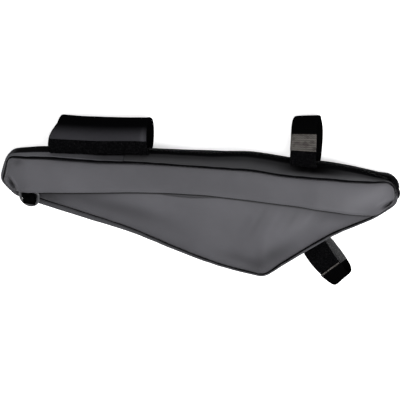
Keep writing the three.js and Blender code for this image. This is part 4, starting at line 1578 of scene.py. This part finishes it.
        def place(u: np.ndarray, v: np.ndarray) -> np.ndarray:
            """Lays the grid over the panel's top and folds its lower hem under."""
            low_x, high_x = seam.x.min() + self.inset + 0.25, seam.x.max() - self.inset - 0.25
            x = low_x + (high_x - low_x) * crowd(u, 0.4)
            along = x / BAG_LENGTH
            top, low = seam.across(x)
            inset = np.minimum(self.inset * 1.6, (top - low) * 0.3)
            high = top - inset
            edge = np.maximum(-seam.band_down(along) * PANEL_HEIGHT, low + inset)
            flat, side_way, under, tail = self.band_hem.at(v)
            spread = crowd(flat, 0.45)
            y = high + (edge - high) * spread
            gap, where = seam.distance(x, y)
            dip = (self.groove - 0.2) * hump(gap, 0.0, self.groove_reach)
            lift = seam.band_lift(along) * BAND_LIFT * np.power(spread, 1.3)
            z = seam.front(x, y) + SEAM_GAP + 0.35 + lift + 1.2
            fold = sum(item.at(x, y) for item in BAND_FOLDS) + 0.16 * ripples(x, y, 30.0, 12)
            z = z + fold * (1 - hump(gap, 0.0, 2.2)) + self.band_pucker.at(where, gap) - dip
            z = z + 0.12 * np.sin(x / 7.0 + np.sin(x / 17.0)) * smoothstep(spread, 0.6, 1.0)
            bead = 0.22 * hump(spread, 0.93, 0.05)
            free = smoothstep(y - low, 0.8, 3.0)
            return np.stack([x, y + (tail - side_way) * free, z + bead - under * free], axis=1)

        piece = grid_mesh(
            "front_band_cloth", 360, 56, place, seam, (BAG_LENGTH, 34.0), masks={"shade": self.band_shade})
        face_way(piece, look_up)
        thicken(piece, self.band_wall)
        settle(piece, Slot.COATED, finish, "front_band")
        return piece

    def seam_cord(self, face: Side, finish: bpy.types.Material) -> bpy.types.Object:
        """The bound seam allowance at the bottom of a seam's groove, near black as painted shade of the
        groove.

        Args:
            face: Front or back.
            finish: Its material.

        Returns:
            The bound seam.
        """
        seam = self.seam

        def place(u: np.ndarray, v: np.ndarray) -> np.ndarray:
            """Runs a squarish section round the seam."""
            here = seam.at(u * seam.total)
            angle = math.tau * v
            side = np.sign(np.cos(angle)) * np.sqrt(np.abs(np.cos(angle)))
            level = np.sign(np.sin(angle)) * np.sqrt(np.abs(np.sin(angle)))
            out = self.binding_middle + self.binding_half * side
            drop = self.groove - self.binding_rise + self.binding_tall * (1 + level)
            return stand(here, out, here["middle"] + face.value * (here["depth"] / 2 - drop))

        name = f"shaded_seam_binding_{face.name.lower()}"
        piece = grid_mesh(name, 520, 12, place, seam, (seam.total, 12.0), ring=True, loop=True)
        settle(piece, Slot.GUSSET, finish)
        return piece


# The zip.


@dataclass
class ZipFastener:
    """The closed coil zip along the top: tape, coil and slider."""

    seam: SeamLine
    tape_half: float = 11.0
    end_room: float = 1.6
    pitch: float = 1.35
    wire: float = 0.42
    loop_reach: float = 1.55
    loop_apart: float = 0.95
    loop_tall: float = 1.15
    end_sink: float = 1.5

    def span(self) -> tuple[float, float]:
        """Lengths along the seam where the zip starts and ends."""
        return self.seam.top_length(ZIP_START), self.seam.edge_length(1, ZIP_END)

    def tape(self, finish: bpy.types.Material) -> bpy.types.Object:
        """The tape under the hems.

        Args:
            finish: Its material.

        Returns:
            The tape.
        """
        start, stop = self.span()

        def place(u: np.ndarray, v: np.ndarray) -> np.ndarray:
            """Lays the grid along the middle of the gusset, deeper near the rear end."""
            here = self.seam.at(start + (stop - start) * u)
            half = np.minimum(self.tape_half, here["depth"] / 2 - self.end_room)
            side = (v - 0.5) * 2 * half
            fall = here["bulge"] * (1 - section_rise(here["power"], 0.5 + side / here["depth"]))
            sunk = self.end_sink * smoothstep(u, 0.80, 0.95)
            out = SEAM_GAP / 2 + here["bulge"] - 0.8 * fall + 0.1 - 1.2 * (side / half) ** 2 - sunk
            return stand(here, out, here["middle"] + side)

        piece = grid_mesh("zip_tape_cloth", 200, 12, place, self.seam, (stop - start, 12.0))
        face_way(piece, lambda spots: np.tile([0.2, 1.0, 0.0], (len(spots), 1)))
        thicken(piece, 0.6)
        settle(piece, Slot.ZIP, finish, "zip_tape")
        return piece

    def coil(self, finish: bpy.types.Material) -> bpy.types.Object:
        """The two rows of coil loops, hooked into each other.

        Args:
            finish: Its material.

        Returns:
            The coil.
        """
        start, stop = self.span()
        arch = bmesh.new()
        ring = bmesh.ops.create_circle(arch, segments=6, radius=self.wire)
        upright = Matrix.Translation((-self.loop_reach, 0.0, 0.0)) @ Matrix.Rotation(math.pi / 2, 4, "X")
        bmesh.ops.transform(arch, verts=ring["verts"], matrix=upright)
        bmesh.ops.spin(
            arch, geom=arch.verts[:] + arch.edges[:], cent=(0, 0, 0), axis=(0, 1, 0), dvec=(0, 0, 0),
            angle=math.pi, steps=7)
        bmesh.ops.recalc_face_normals(arch, faces=arch.faces[:])
        loop = bpy.data.meshes.new("coil_loop")
        arch.to_mesh(loop)
        arch.free()
        row = bmesh.new()
        count = int((stop - start - 2) / self.pitch)
        for k in range(2 * count):
            length = start + 1.0 + self.pitch * (k + 0.5) / 2
            here = self.seam.at_one(length)
            before = len(row.verts)
            row.from_mesh(loop)
            row.verts.ensure_lookup_table()
            fresh = row.verts[before:]
            lean = 1.0 if k % 2 else -1.0
            share = np.array([(length - start) / (stop - start)])
            sunk = 2 * self.end_sink * float(smoothstep(share, 0.80, 0.95)[0])
            out = SEAM_GAP / 2 + here["bulge"] + 0.35 - sunk
            level = here["middle"] + lean * self.loop_apart
            spot = np.array([here["x"] + here["nx"] * out, here["y"] + here["ny"] * out, level])
            spot = Vector(spot + self.seam.offset)
            across = Vector((0.0, 0.0, 1.0))
            up = Vector((here["nx"], here["ny"], 0.0))
            way = across.cross(up)
            turn = Matrix((across, way, up)).transposed().to_4x4()
            turn = turn @ Matrix.Scale(self.loop_tall, 4, (0, 0, 1))
            bmesh.ops.transform(
                row, verts=fresh, matrix=Matrix.Scale(MM, 4) @ Matrix.Translation(spot) @ turn)
        mesh = bpy.data.meshes.new("zip_coil_loops")
        row.to_mesh(mesh)
        row.free()
        piece = new_piece("zip_coil_loops", mesh)
        settle(piece, Slot.ZIP, finish, "zip_coil")
        return piece


# The straps.


@dataclass(frozen=True)
class LoopSize:
    """Sizes of one strap's loop, in millimetres, the strength of its painted sheen and of the painted
    highlight on its flap's edge, and the shapes of its two walls.
    """

    place: float
    width: float
    height: float
    taper: float
    depth: float
    wall: float
    cut: float = 0.0
    lean: float = 0.0
    pinch: float = 0.0
    # Strength of the painted sheen, and of the painted highlight along the flap's edge.
    lit: float = 1.0
    rim: float = 0.0
    skew: float = 0.0
    sway: float = 0.0
    front: tuple[tuple[float, float], ...] = LOOP_SHAPE
    back: tuple[tuple[float, float], ...] = LOOP_SHAPE


def catmull(points: np.ndarray, t: np.ndarray) -> tuple[np.ndarray, np.ndarray]:
    """Place and direction on a centripetal curve through points.

    Args:
        points: The points, one a row.
        t: Shares along the curve, from 0 to 1.

    Returns:
        The places and the unit directions.
    """
    ends = np.concatenate([[2 * points[0] - points[1]], points, [2 * points[-1] - points[-2]]])
    spot = np.clip(t, 0.0, 1.0) * (len(points) - 1)
    i = np.minimum(spot.astype(int), len(points) - 2)
    w = (spot - i)[:, None]
    p0, p1, p2, p3 = ends[i], ends[i + 1], ends[i + 2], ends[i + 3]

    def root(a: np.ndarray, b: np.ndarray) -> np.ndarray:
        """Square root of the distance between two points."""
        return np.maximum(np.sqrt(np.linalg.norm(b - a, axis=1)), 1e-4)[:, None]

    d0, d1, d2 = root(p0, p1), root(p1, p2), root(p2, p3)
    m1 = ((p1 - p0) / d0 - (p2 - p0) / (d0 + d1) + (p2 - p1) / d1) * d1
    m2 = ((p2 - p1) / d1 - (p3 - p1) / (d1 + d2) + (p3 - p2) / d2) * d1
    c2 = -3 * p1 + 3 * p2 - 2 * m1 - m2
    c3 = 2 * p1 - 2 * p2 + m1 + m2
    place = p1 + m1 * w + c2 * w**2 + c3 * w**3
    way = m1 + 2 * c2 * w + 3 * c3 * w**2
    return place, way / np.linalg.norm(way, axis=1)[:, None]


@dataclass
class StrapLoop:
    """A strap sewn to the gusset: an inner layer with pile and an outer flap pressed on it."""

    seam: SeamLine
    name: str
    size: LoopSize
    stations: int = 9

    def seat(self, here: dict[str, float], side: float) -> float:
        """How far out the loop's middle line lies on the gusset.

        Args:
            here: Values along the seam.
            side: Place across the gusset, in shares of half the loop's depth.

        Returns:
            The distance in millimetres.
        """
        share = np.array([0.5 - side * (self.size.depth / 2) / here["depth"]])
        rise = float(section_rise(np.array([here["power"]]), share)[0])
        return SEAM_GAP * 1.5 + self.size.wall * FOOT_EASE + here["bulge"] * rise

    def wall_points(
        self, here: dict[str, float], height: float, shape: tuple[tuple[float, float], ...]
    ) -> list[tuple[float, float]]:
        """Points of one wall of the loop, from its foot to its top.

        Args:
            here: Values along the seam.
            height: The loop's height there.
            shape: The wall's shape.

        Returns:
            Places across and outwards, in millimetres.
        """
        half = self.size.depth / 2
        crown = SEAM_GAP / 2 + here["bulge"]
        feet = [(side * half, self.seat(here, side)) for side in (FOOT_INNER, FOOT_OUTER)]
        return feet + [(side * half, crown + rise * height) for side, rise in shape]

    def spots(self, share: np.ndarray, t: np.ndarray, push: np.ndarray) -> np.ndarray:
        """Places on the loop.

        Args:
            share: Shares across the strap's width.
            t: Shares along the loop, from the front foot to the back foot.
            push: Distance outwards from the loop's middle line.

        Returns:
            The places in millimetres.
        """
        size, seam = self.size, self.seam
        centre = seam.at(np.array([size.place]))
        out = np.array([centre["nx"][0], centre["ny"][0]])
        along = np.array([out[1], -out[0]])
        layers = []
        marks = np.linspace(0.0, 1.0, self.stations)
        for mark in marks:
            here = seam.at_one(size.place + (mark - 0.5) * size.width)
            height = size.height - size.taper * (mark - 0.5)
            front = self.wall_points(here, height, size.front)
            back = self.wall_points(here, height, size.back)
            points = np.array(front + [(-side, rise) for side, rise in reversed(back)])
            place, way = catmull(points, t)
            rise = np.clip((place[:, 1] - here["bulge"]) / size.height, 0.0, 1.0)
            side = place[:, 0] + way[:, 1] * push
            reach = place[:, 1] - way[:, 0] * push
            reach = reach + size.skew * size.width * (mark - 0.5) * rise
            shift = size.cut * (1 - mark) * rise**3.5 - size.sway * rise**5
            shift = shift - (size.lean + size.pinch * (mark - 0.5)) * rise**2
            layers.append(np.stack([
                here["x"] + out[0] * reach + along[0] * shift,
                here["y"] + out[1] * reach + along[1] * shift,
                here["middle"] + side], axis=1))
        stack = np.stack(layers)
        spot = np.clip(share, 0.0, 1.0) * (self.stations - 1)
        i = np.minimum(spot.astype(int), self.stations - 2)
        w = (spot - i)[:, None]
        rows = np.arange(len(share))
        inside = stack[i, rows] * (1 - w) + stack[i + 1, rows] * w
        beyond = (share - np.clip(share, 0.0, 1.0))[:, None] * size.width
        return inside + beyond * np.array([along[0], along[1], 0.0])

    def layer(
        self,
        part: str,
        finish: bpy.types.Material,
        slot: Slot,
        span: tuple[float, float],
        over: Callable[[np.ndarray], np.ndarray],
        relief: Field,
        node: str,
        wall: float,
        steps: int,
        sheen_patch: tuple[float, float, float] = (2.0, 3.0, 0.1),
        overhang: float = 0.0,
    ) -> bpy.types.Object:
        """One layer of the loop, a flat strap with soft edges.

        Args:
            part: Its name after the strap's name.
            finish: Its material.
            slot: The record's slot.
            span: Where it starts and ends on the loop.
            over: Extra distance outwards along the loop.
            relief: Fine height on its outer face, by share across and place on the loop.
            node: The solid that it replaces, or nothing.
            wall: Its thickness in millimetres.
            steps: Faces along it.
            sheen_patch: Places on the loop between which the painted sheen lies, and how far its end fades.
            overhang: How far it stands past the strap's rear edge, in uneven lumps.

        Returns:
            The layer.
        """
        width = self.size.width
        round_off = wall / 2 * 0.9 / width
        flat = max(16, int(width / 1.2))
        ring_share = [k / flat for k in range(flat + 1)]
        ring_push = [-wall / 2] * (flat + 1)
        for k in range(1, 4):
            angle = math.pi * k / 4
            ring_share.append(1 + math.sin(angle) * round_off)
            ring_push.append(-wall / 2 * math.cos(angle))
        ring_share += [1 - k / flat for k in range(flat + 1)]
        ring_push += [wall / 2] * (flat + 1)
        for k in range(1, 5):
            angle = math.pi * k / 4
            ring_share.append(-math.sin(angle) * round_off)
            ring_push.append(wall / 2 * math.cos(angle))
        shares, pushes = np.array(ring_share), np.array(ring_push)
        rows = len(shares) - 1

        def place(u: np.ndarray, v: np.ndarray) -> np.ndarray:
            """Runs the layer's section along the loop."""
            t = span[0] + (span[1] - span[0]) * u
            index = np.rint(v * rows).astype(int)
            share, push = shares[index], pushes[index]
            outer = smoothstep(push, -wall * 0.1, wall * 0.5)
            lumps = 0.75 + 0.35 * ripples(t * 120.0, 0.0 * t, 6.0, 41)
            past = overhang / width * lumps * smoothstep(0.5 - share, 0.0, 0.5)
            share = share - past * np.sin(np.pi * u) ** 0.5
            edge = 1 - 0.35 * np.exp(-(np.minimum(share, 1 - share) * width / 0.8).clip(0) ** 2)
            return self.spots(share, t, push * edge + over(t) + relief(share, t) * outer)

        def painted_light(u: np.ndarray, v: np.ndarray, spots: np.ndarray) -> np.ndarray:
            """Strength of the painted sheen on the layer's outer face, with a painted highlight along its
            edge.
            """
            t = span[0] + (span[1] - span[0]) * u
            index = np.rint(v * rows).astype(int)
            inside = (1 - smoothstep(t, sheen_patch[1] - sheen_patch[2], sheen_patch[1])) * (t > sheen_patch[0])
            rim = 1 + self.size.rim * hump(shares[index], 0.965, 0.02)
            return inside * (pushes[index] > 0) * self.size.lit * rim

        size = (abs(span[1] - span[0]) * 3.1 * self.size.height, 2.0 * width)
        name = f"{self.name}_{part}_cloth"
        piece = grid_mesh(name, steps, rows, place, self.seam, size, ring=True, masks={"sheen_patch": painted_light})
        settle(piece, slot, finish, *([node] if node else []))
        return piece

    def flap_over(self, t: np.ndarray) -> np.ndarray:
        """How far the flap stands off the base, easing in near its own foot."""
        return (self.size.wall + SEAM_GAP) * (1 - smoothstep(t, 0.66, 0.92))


@dataclass
class RingSet:
    """The D ring in its webbing tab at the nose."""

    seam: SeamLine
    radius: float = 9.8
    corner: float = 2.2
    wire: float = 2.5
    bar_rise: float = 5.5
    along: float = 0.0695
    down: float = 0.396
    droop: float = 0.2
    tab_width: float = 13.0
    tab_wall: float = 1.0
    tab_length: float = 9.0
    # The tab hangs this far below the bar so that its dark webbing fills the ring's inside: partly the real
    # tab, partly painted shade inside the ring.
    tab_drop: float = 10.4

    def __post_init__(self) -> None:
        """Works out the ring's place."""
        self.x = self.along * BAG_LENGTH
        self.y = -self.down * PANEL_HEIGHT
        self.bar = self.y + self.bar_rise

    def height(self, x: np.ndarray, y: np.ndarray) -> np.ndarray:
        """Height of the ring's middle plane.

        Args:
            x: Places along the bag.
            y: Places across it.

        Returns:
            The heights in millimetres.
        """
        right = self.seam.front_at(self.x + self.radius, self.bar)
        left = self.seam.front_at(self.x - self.radius, self.bar)
        slope = (right - left) / (2 * self.radius)
        over = SEAM_GAP * 2 + self.tab_wall + self.wire / 2 + 0.2
        middle = self.seam.front_at(self.x, self.bar) + over
        return middle + slope * (x - self.x) - self.droop * (self.bar - y)

    def level(self, y: float) -> float:
        """Height of the ring's middle plane under the tab."""
        return float(self.height(np.array([self.x]), np.array([y]))[0])

    def ring(self, finish: bpy.types.Material) -> bpy.types.Object:
        """The ring: a straight bar, round corners and half a circle.

        Args:
            finish: Its material.

        Returns:
            The ring.
        """
        r, bar, corner = self.radius, self.bar_rise, self.corner
        path = [(-r + corner, bar), (0.0, bar), (r - corner, bar), (r - corner * 0.3, bar - corner * 0.3),
                (r, bar - corner), (r, bar * 0.3)]
        path += [(r * math.cos(-math.pi * k / 14), r * math.sin(-math.pi * k / 14)) for k in range(15)]
        path += [(-r, bar * 0.3), (-r, bar - corner), (-r + corner * 0.3, bar - corner * 0.3)]
        line = np.array(path)
        fine = np.concatenate([line[-2:], line, line[:3]])
        count = len(line)

        def place(u: np.ndarray, v: np.ndarray) -> np.ndarray:
            """Runs the wire's round section along the path."""
            spot = np.mod(u, 1.0) * count
            spots, way = catmull(fine, (spot + 2) / (len(fine) - 1))
            angle = math.tau * v
            side = np.cos(angle) * self.wire * 0.6
            x = self.x + spots[:, 0] + way[:, 1] * side
            y = self.y + spots[:, 1] - way[:, 0] * side
            return np.stack([x, y, self.height(x, y) + np.sin(angle) * self.wire / 2], axis=1)

        piece = grid_mesh("strap_ring_moulded", 120, 16, place, self.seam, (52.0, 8.0), ring=True, loop=True)
        settle(piece, Slot.MOULDED, finish, "strap_ring")
        return piece

    def tab(self, finish: bpy.types.Material) -> bpy.types.Object:
        """The webbing folded round the ring's bar.

        Args:
            finish: Its material.

        Returns:
            The tab.
        """
        turn = self.wire / 2 + SEAM_GAP + self.tab_wall / 2
        far, near = self.bar + self.tab_length, self.bar + self.tab_length * 0.3
        over_far, over_near = (
            self.seam.front_at(self.x, y) + SEAM_GAP + 0.2 + self.tab_wall / 2 for y in (far, near))
        middle = self.level(self.bar)
        low = self.bar - self.tab_drop - self.wire * 0.4
        rows = [(far, over_far), (near, over_near), (self.bar, middle - turn)]
        for k in range(9):
            angle = -math.pi / 2 - math.pi * k / 8
            rows.append((low + turn * math.cos(angle), self.level(low) + turn * math.sin(angle)))
        apart = self.tab_wall + SEAM_GAP
        rows += [(self.bar, middle + turn), (near + apart, over_near + apart * 1.7), (far, over_far + apart)]
        path = np.array(rows)
        ring = [(-1, -1), (-0.94, -1), (0.94, -1), (1, -1), (1, 1), (0.94, 1), (-0.94, 1), (-1, 1), (-1, -1)]
        section = np.array(ring, float)

        def place(u: np.ndarray, v: np.ndarray) -> np.ndarray:
            """Runs the webbing's flat section along the path."""
            spots, way = catmull(path, u)
            index = np.rint(v * (len(ring) - 1)).astype(int)
            side, skin = section[index, 0] * self.tab_width / 2, section[index, 1] * self.tab_wall / 2
            x = self.x + side
            tilt = self.height(x, np.full_like(x, self.bar)) - middle
            y, z = spots[:, 0] + way[:, 1] * skin, spots[:, 1] - way[:, 0] * skin + tilt
            return np.stack([x, y, z], axis=1)

        piece = grid_mesh("ring_tab_cloth", 48, len(ring) - 1, place, self.seam, (28.0, 26.0), ring=True)
        settle(piece, Slot.WEBBING, finish, "ring_tab")
        return piece


# The studio.


@dataclass
class Studio:
    """Pale floor, soft lights and the camera."""

    seam: SeamLine
    distance: float = 8.0
    frame_width: float = 0.3984
    sensor: float = 36.0
    target: tuple[float, float, float] = (202.9, -31.5, 45.0)
    right: tuple[float, float, float] = (0.9816, 0.0, -0.1908)
    back: tuple[float, float, float] = (0.1793, 0.3420, 0.9224)
    floor_half: float = 30.0
    floor_drop: float = 0.0003
    floor_tone: float = 0.86
    floor_glow: float = 0.62
    room_glow: float = 0.16

    def floor(self) -> None:
        """A wide plain floor under the bag."""
        bm = bmesh.new()
        bmesh.ops.create_grid(bm, x_segments=8, y_segments=8, size=self.floor_half)
        bmesh.ops.translate(bm, verts=bm.verts[:], vec=(0.0, 0.0, -self.floor_drop))
        mesh = bpy.data.meshes.new("floor")
        bm.to_mesh(mesh)
        bm.free()
        floor = new_piece("floor", mesh)
        material = bpy.data.materials.new("floor_paint")
        material.use_nodes = True
        shader = material.node_tree.nodes["Principled BSDF"]
        shader.inputs["Base Color"].default_value = (*(self.floor_tone,) * 3, 1.0)
        shader.inputs["Roughness"].default_value = 0.9
        shader.inputs["Specular IOR Level"].default_value = 0.1
        shader.inputs["Emission Color"].default_value = (1.0, 1.0, 1.0, 1.0)
        shader.inputs["Emission Strength"].default_value = self.floor_glow
        mesh.materials.append(material)

    def lamp(self, name: str, spot: tuple[float, float, float], size: float, power: float) -> None:
        """A square soft light that looks at the bag.

        Args:
            name: Its name.
            spot: Its place in metres.
            size: Its side in metres.
            power: Its power in watts.
        """
        data = bpy.data.lights.new(name, "AREA")
        data.shape = "SQUARE"
        data.size = size
        data.energy = power
        lamp = bpy.data.objects.new(name, data)
        lamp.location = spot
        lamp.rotation_euler = (Vector((0, 0, 0.02)) - Vector(spot)).to_track_quat("-Z", "Y").to_euler()
        bpy.context.scene.collection.objects.link(lamp)

    def light(self) -> None:
        """Large key overhead towards the rear end, with a weak fill and a dim room."""
        self.lamp("key_light", (1.2, 0.05, 2.2), 1.2, 84.0)
        self.lamp("fill_light", (-0.9, -0.7, 2.4), 2.2, 14.0)
        self.lamp("back_light", (-1.1, 1.5, 1.7), 1.8, 26.0)
        world = bpy.data.worlds.new("room")
        world.use_nodes = True
        room = world.node_tree.nodes["Background"]
        room.inputs["Color"].default_value = (1.0, 1.0, 1.0, 1.0)
        room.inputs["Strength"].default_value = self.room_glow
        bpy.context.scene.world = world

    def camera(self) -> None:
        """The camera at the photograph's angle, with a long lens."""
        back = Vector(self.back).normalized()
        up = back.cross(Vector(self.right).normalized()).normalized()
        right = up.cross(back).normalized()
        target = Vector(np.array(self.target) + self.seam.offset) * MM
        data = bpy.data.cameras.new("photo_camera")
        data.sensor_width = self.sensor
        data.lens = self.sensor * self.distance / self.frame_width
        data.clip_start, data.clip_end = 0.1, 60.0
        camera = bpy.data.objects.new("photo_camera", data)
        turn = Matrix((right, up, back)).transposed().to_4x4()
        camera.matrix_world = Matrix.Translation(target + back * self.distance) @ turn
        bpy.context.scene.collection.objects.link(camera)
        bpy.context.scene.camera = camera

    def build(self) -> None:
        """Sets up the whole studio."""
        self.floor()
        self.light()
        self.camera()
        bpy.context.scene.view_settings.view_transform = "Standard"
        bpy.context.scene.view_settings.look = "None"


# The whole bag.


def pressed(t: np.ndarray) -> np.ndarray:
    """No extra distance: the layer keeps to the loop's middle line."""
    return 0.0 * t


def smooth_face(share: np.ndarray, t: np.ndarray) -> np.ndarray:
    """A face without relief."""
    return 0.0 * share


def pile_face(share: np.ndarray, t: np.ndarray) -> np.ndarray:
    """The narrow straps' pile: low uneven tufts."""
    return 0.22 * ripples(share * 25.0, t * 120.0, 2.2, 31)


def wrap_pile_face(share: np.ndarray, t: np.ndarray) -> np.ndarray:
    """The wrap's pile: tufts of two sizes."""
    x, y = share * 98.0, t * 92.0
    return 0.35 * ripples(x, y, 2.6, 21) + 0.2 * ripples(x, y, 1.3, 22)


def wrap_knit_face(share: np.ndarray, t: np.ndarray) -> np.ndarray:
    """The wrap's knitted flap: broad waves and a raised rim."""
    return 0.35 * ripples(share * 98.0, t * 60.0, 24.0, 23) + 0.6 * hump(share, 0.975, 0.02)


def build_straps(
    seam: SeamLine,
    webbing: bpy.types.Material,
    knit: bpy.types.Material,
    pile: bpy.types.Material,
    lit_pile: bpy.types.Material,
) -> None:
    """The wide wrap and the two narrow straps.

    Args:
        seam: The seam line.
        webbing: Finish of the narrow straps.
        knit: Finish of the wrap's smooth flap.
        pile: Finish of the layers with loop pile.
        lit_pile: Finish of the paler pile sheet inside the seat tube's strap: painted light where the
            strap's inner face catches the light.
    """
    # The wrap's lit and rim give the strength of its painted sheen and of the painted highlight along its
    # edge.
    wrap = StrapLoop(seam, "wrap", LoopSize(
        place=seam.top_length(0.248) - 1.15, width=100.3, height=29.8, taper=1.6, depth=35.0, wall=1.8,
        cut=9.5, lit=0.63, rim=0.7))
    wrap.layer("base", pile, Slot.PILE, (0.0, 0.36), pressed, wrap_pile_face, "wrap_base", 1.8, 60)
    wrap.layer("flap", knit, Slot.WEBBING, (1.0, 0.28), wrap.flap_over, wrap_knit_face, "wrap_flap",
               1.7, 120, sheen_patch=(0.0, 0.41, 0.12))
    rear = StrapLoop(seam, "rear_strap", LoopSize(
        place=seam.top_length(0.761), width=25.0, height=40.5, taper=-4.0, depth=36.5, wall=1.6,
        sway=2.6, front=LEANING_FRONT, back=SQUARE_BACK))
    rear.layer("base", pile, Slot.PILE, (0.0, 0.34), pressed, pile_face, "rear_strap_base", 1.6, 50)
    rear.layer("flap", webbing, Slot.WEBBING, (1.0, 0.245), rear.flap_over, smooth_face, "rear_strap_flap",
               1.6, 130, sheen_patch=(0.0, 0.365, 0.03))
    seat = StrapLoop(seam, "seat_strap", LoopSize(
        place=seam.edge_length(2, 0.64), width=25.0, height=43.5, taper=0.0, depth=22.0, wall=1.6,
        lean=4.2, pinch=6.0, skew=0.13))
    seat.layer("base", pile, Slot.PILE, (0.0, 0.36), pressed, pile_face, "seat_strap_base", 1.6, 50)
    seat.layer("flap", webbing, Slot.WEBBING, (1.0, 0.3), seat.flap_over, smooth_face, "seat_strap_flap",
               1.6, 130, sheen_patch=(0.0, 0.309, 0.002))
    # A paler pile sheet inside the far wall: painted light on the strap's inner face.
    seat.layer("lit_pad", lit_pile, Slot.PILE, (0.66, 0.95), lambda t: seat.flap_over(t) - 1.6, pile_face, "",
               1.0, 48, overhang=1.5)


def main() -> None:
    """Builds the bag piece by piece, then the studio."""
    logging.basicConfig(level=logging.INFO, format="%(name)s: %(message)s")
    effects = Effects()
    seam = SeamLine()
    LOG.info("offset %s", np.round(seam.offset, 2).tolist())
    coated = CoatedCloth("coated_fabric", (0.066, 0.065, 0.072), 0.55).build(effects)
    back_cloth = CoatedCloth("back_fabric", (0.030, 0.030, 0.033), 0.6).build(effects)
    gusset = CoatedCloth("gusset_fabric", (0.062, 0.062, 0.067), 0.6, on_uv=True, gloss=0.0).build(effects)
    strip = CoatedCloth("strip_fabric", (0.036, 0.036, 0.038), 0.6, on_uv=True, gloss=0.0).build(effects)
    # Near black: painted shade at the bottom of the seam grooves.
    shaded_binding = Knit("shaded_seam_binding", (0.0030, 0.0030, 0.0034), 0.9).build(effects)
    webbing = Webbing("webbing", (0.0010, 0.0010, 0.0011), 0.75).build(effects)
    knit = Knit("wrap_knit", (0.0010, 0.0010, 0.0012), 0.7).build(effects)
    pile = Pile(
        "loop_pile", (0.0012, 0.0012, 0.0014), 0.95, tips=(0.030, 0.030, 0.032), size=0.0008).build(effects)
    # Paler pile that stands in for light on the seat strap's inner face: painted light.
    lit_pile = Pile(
        "lit_pile", (0.035, 0.035, 0.036), 0.95, tips=(0.30, 0.30, 0.30), size=0.0009).build(effects)
    tape = Knit("zip_tape", (0.0020, 0.0020, 0.0023), 0.85).build(effects)
    coil = Moulded("zip_coil", (0.013, 0.013, 0.014), 0.45).build(effects)
    moulded = Moulded("moulded_plastic", (0.045, 0.045, 0.048), 0.45).build(effects)

    body = BagBody(seam)
    body.panel(Side.FRONT, coated, Slot.COATED)
    body.panel(Side.BACK, back_cloth, Slot.GUSSET)
    body.band(coated)
    body.lower_gusset(gusset)
    body.strip(Side.FRONT, strip)
    body.strip(Side.BACK, strip)
    body.seam_cord(Side.FRONT, shaded_binding)
    body.seam_cord(Side.BACK, shaded_binding)
    fastener = ZipFastener(seam)
    fastener.tape(tape)
    fastener.coil(coil)
    build_straps(seam, webbing, knit, pile, lit_pile)
    rings = RingSet(seam)
    rings.ring(moulded)
    rings.tab(webbing)
    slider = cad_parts["zip_slider"]
    slider.data.materials.clear()
    slider.data.materials.append(moulded)
    Studio(seam).build()


if __name__ == "__main__":
    main()
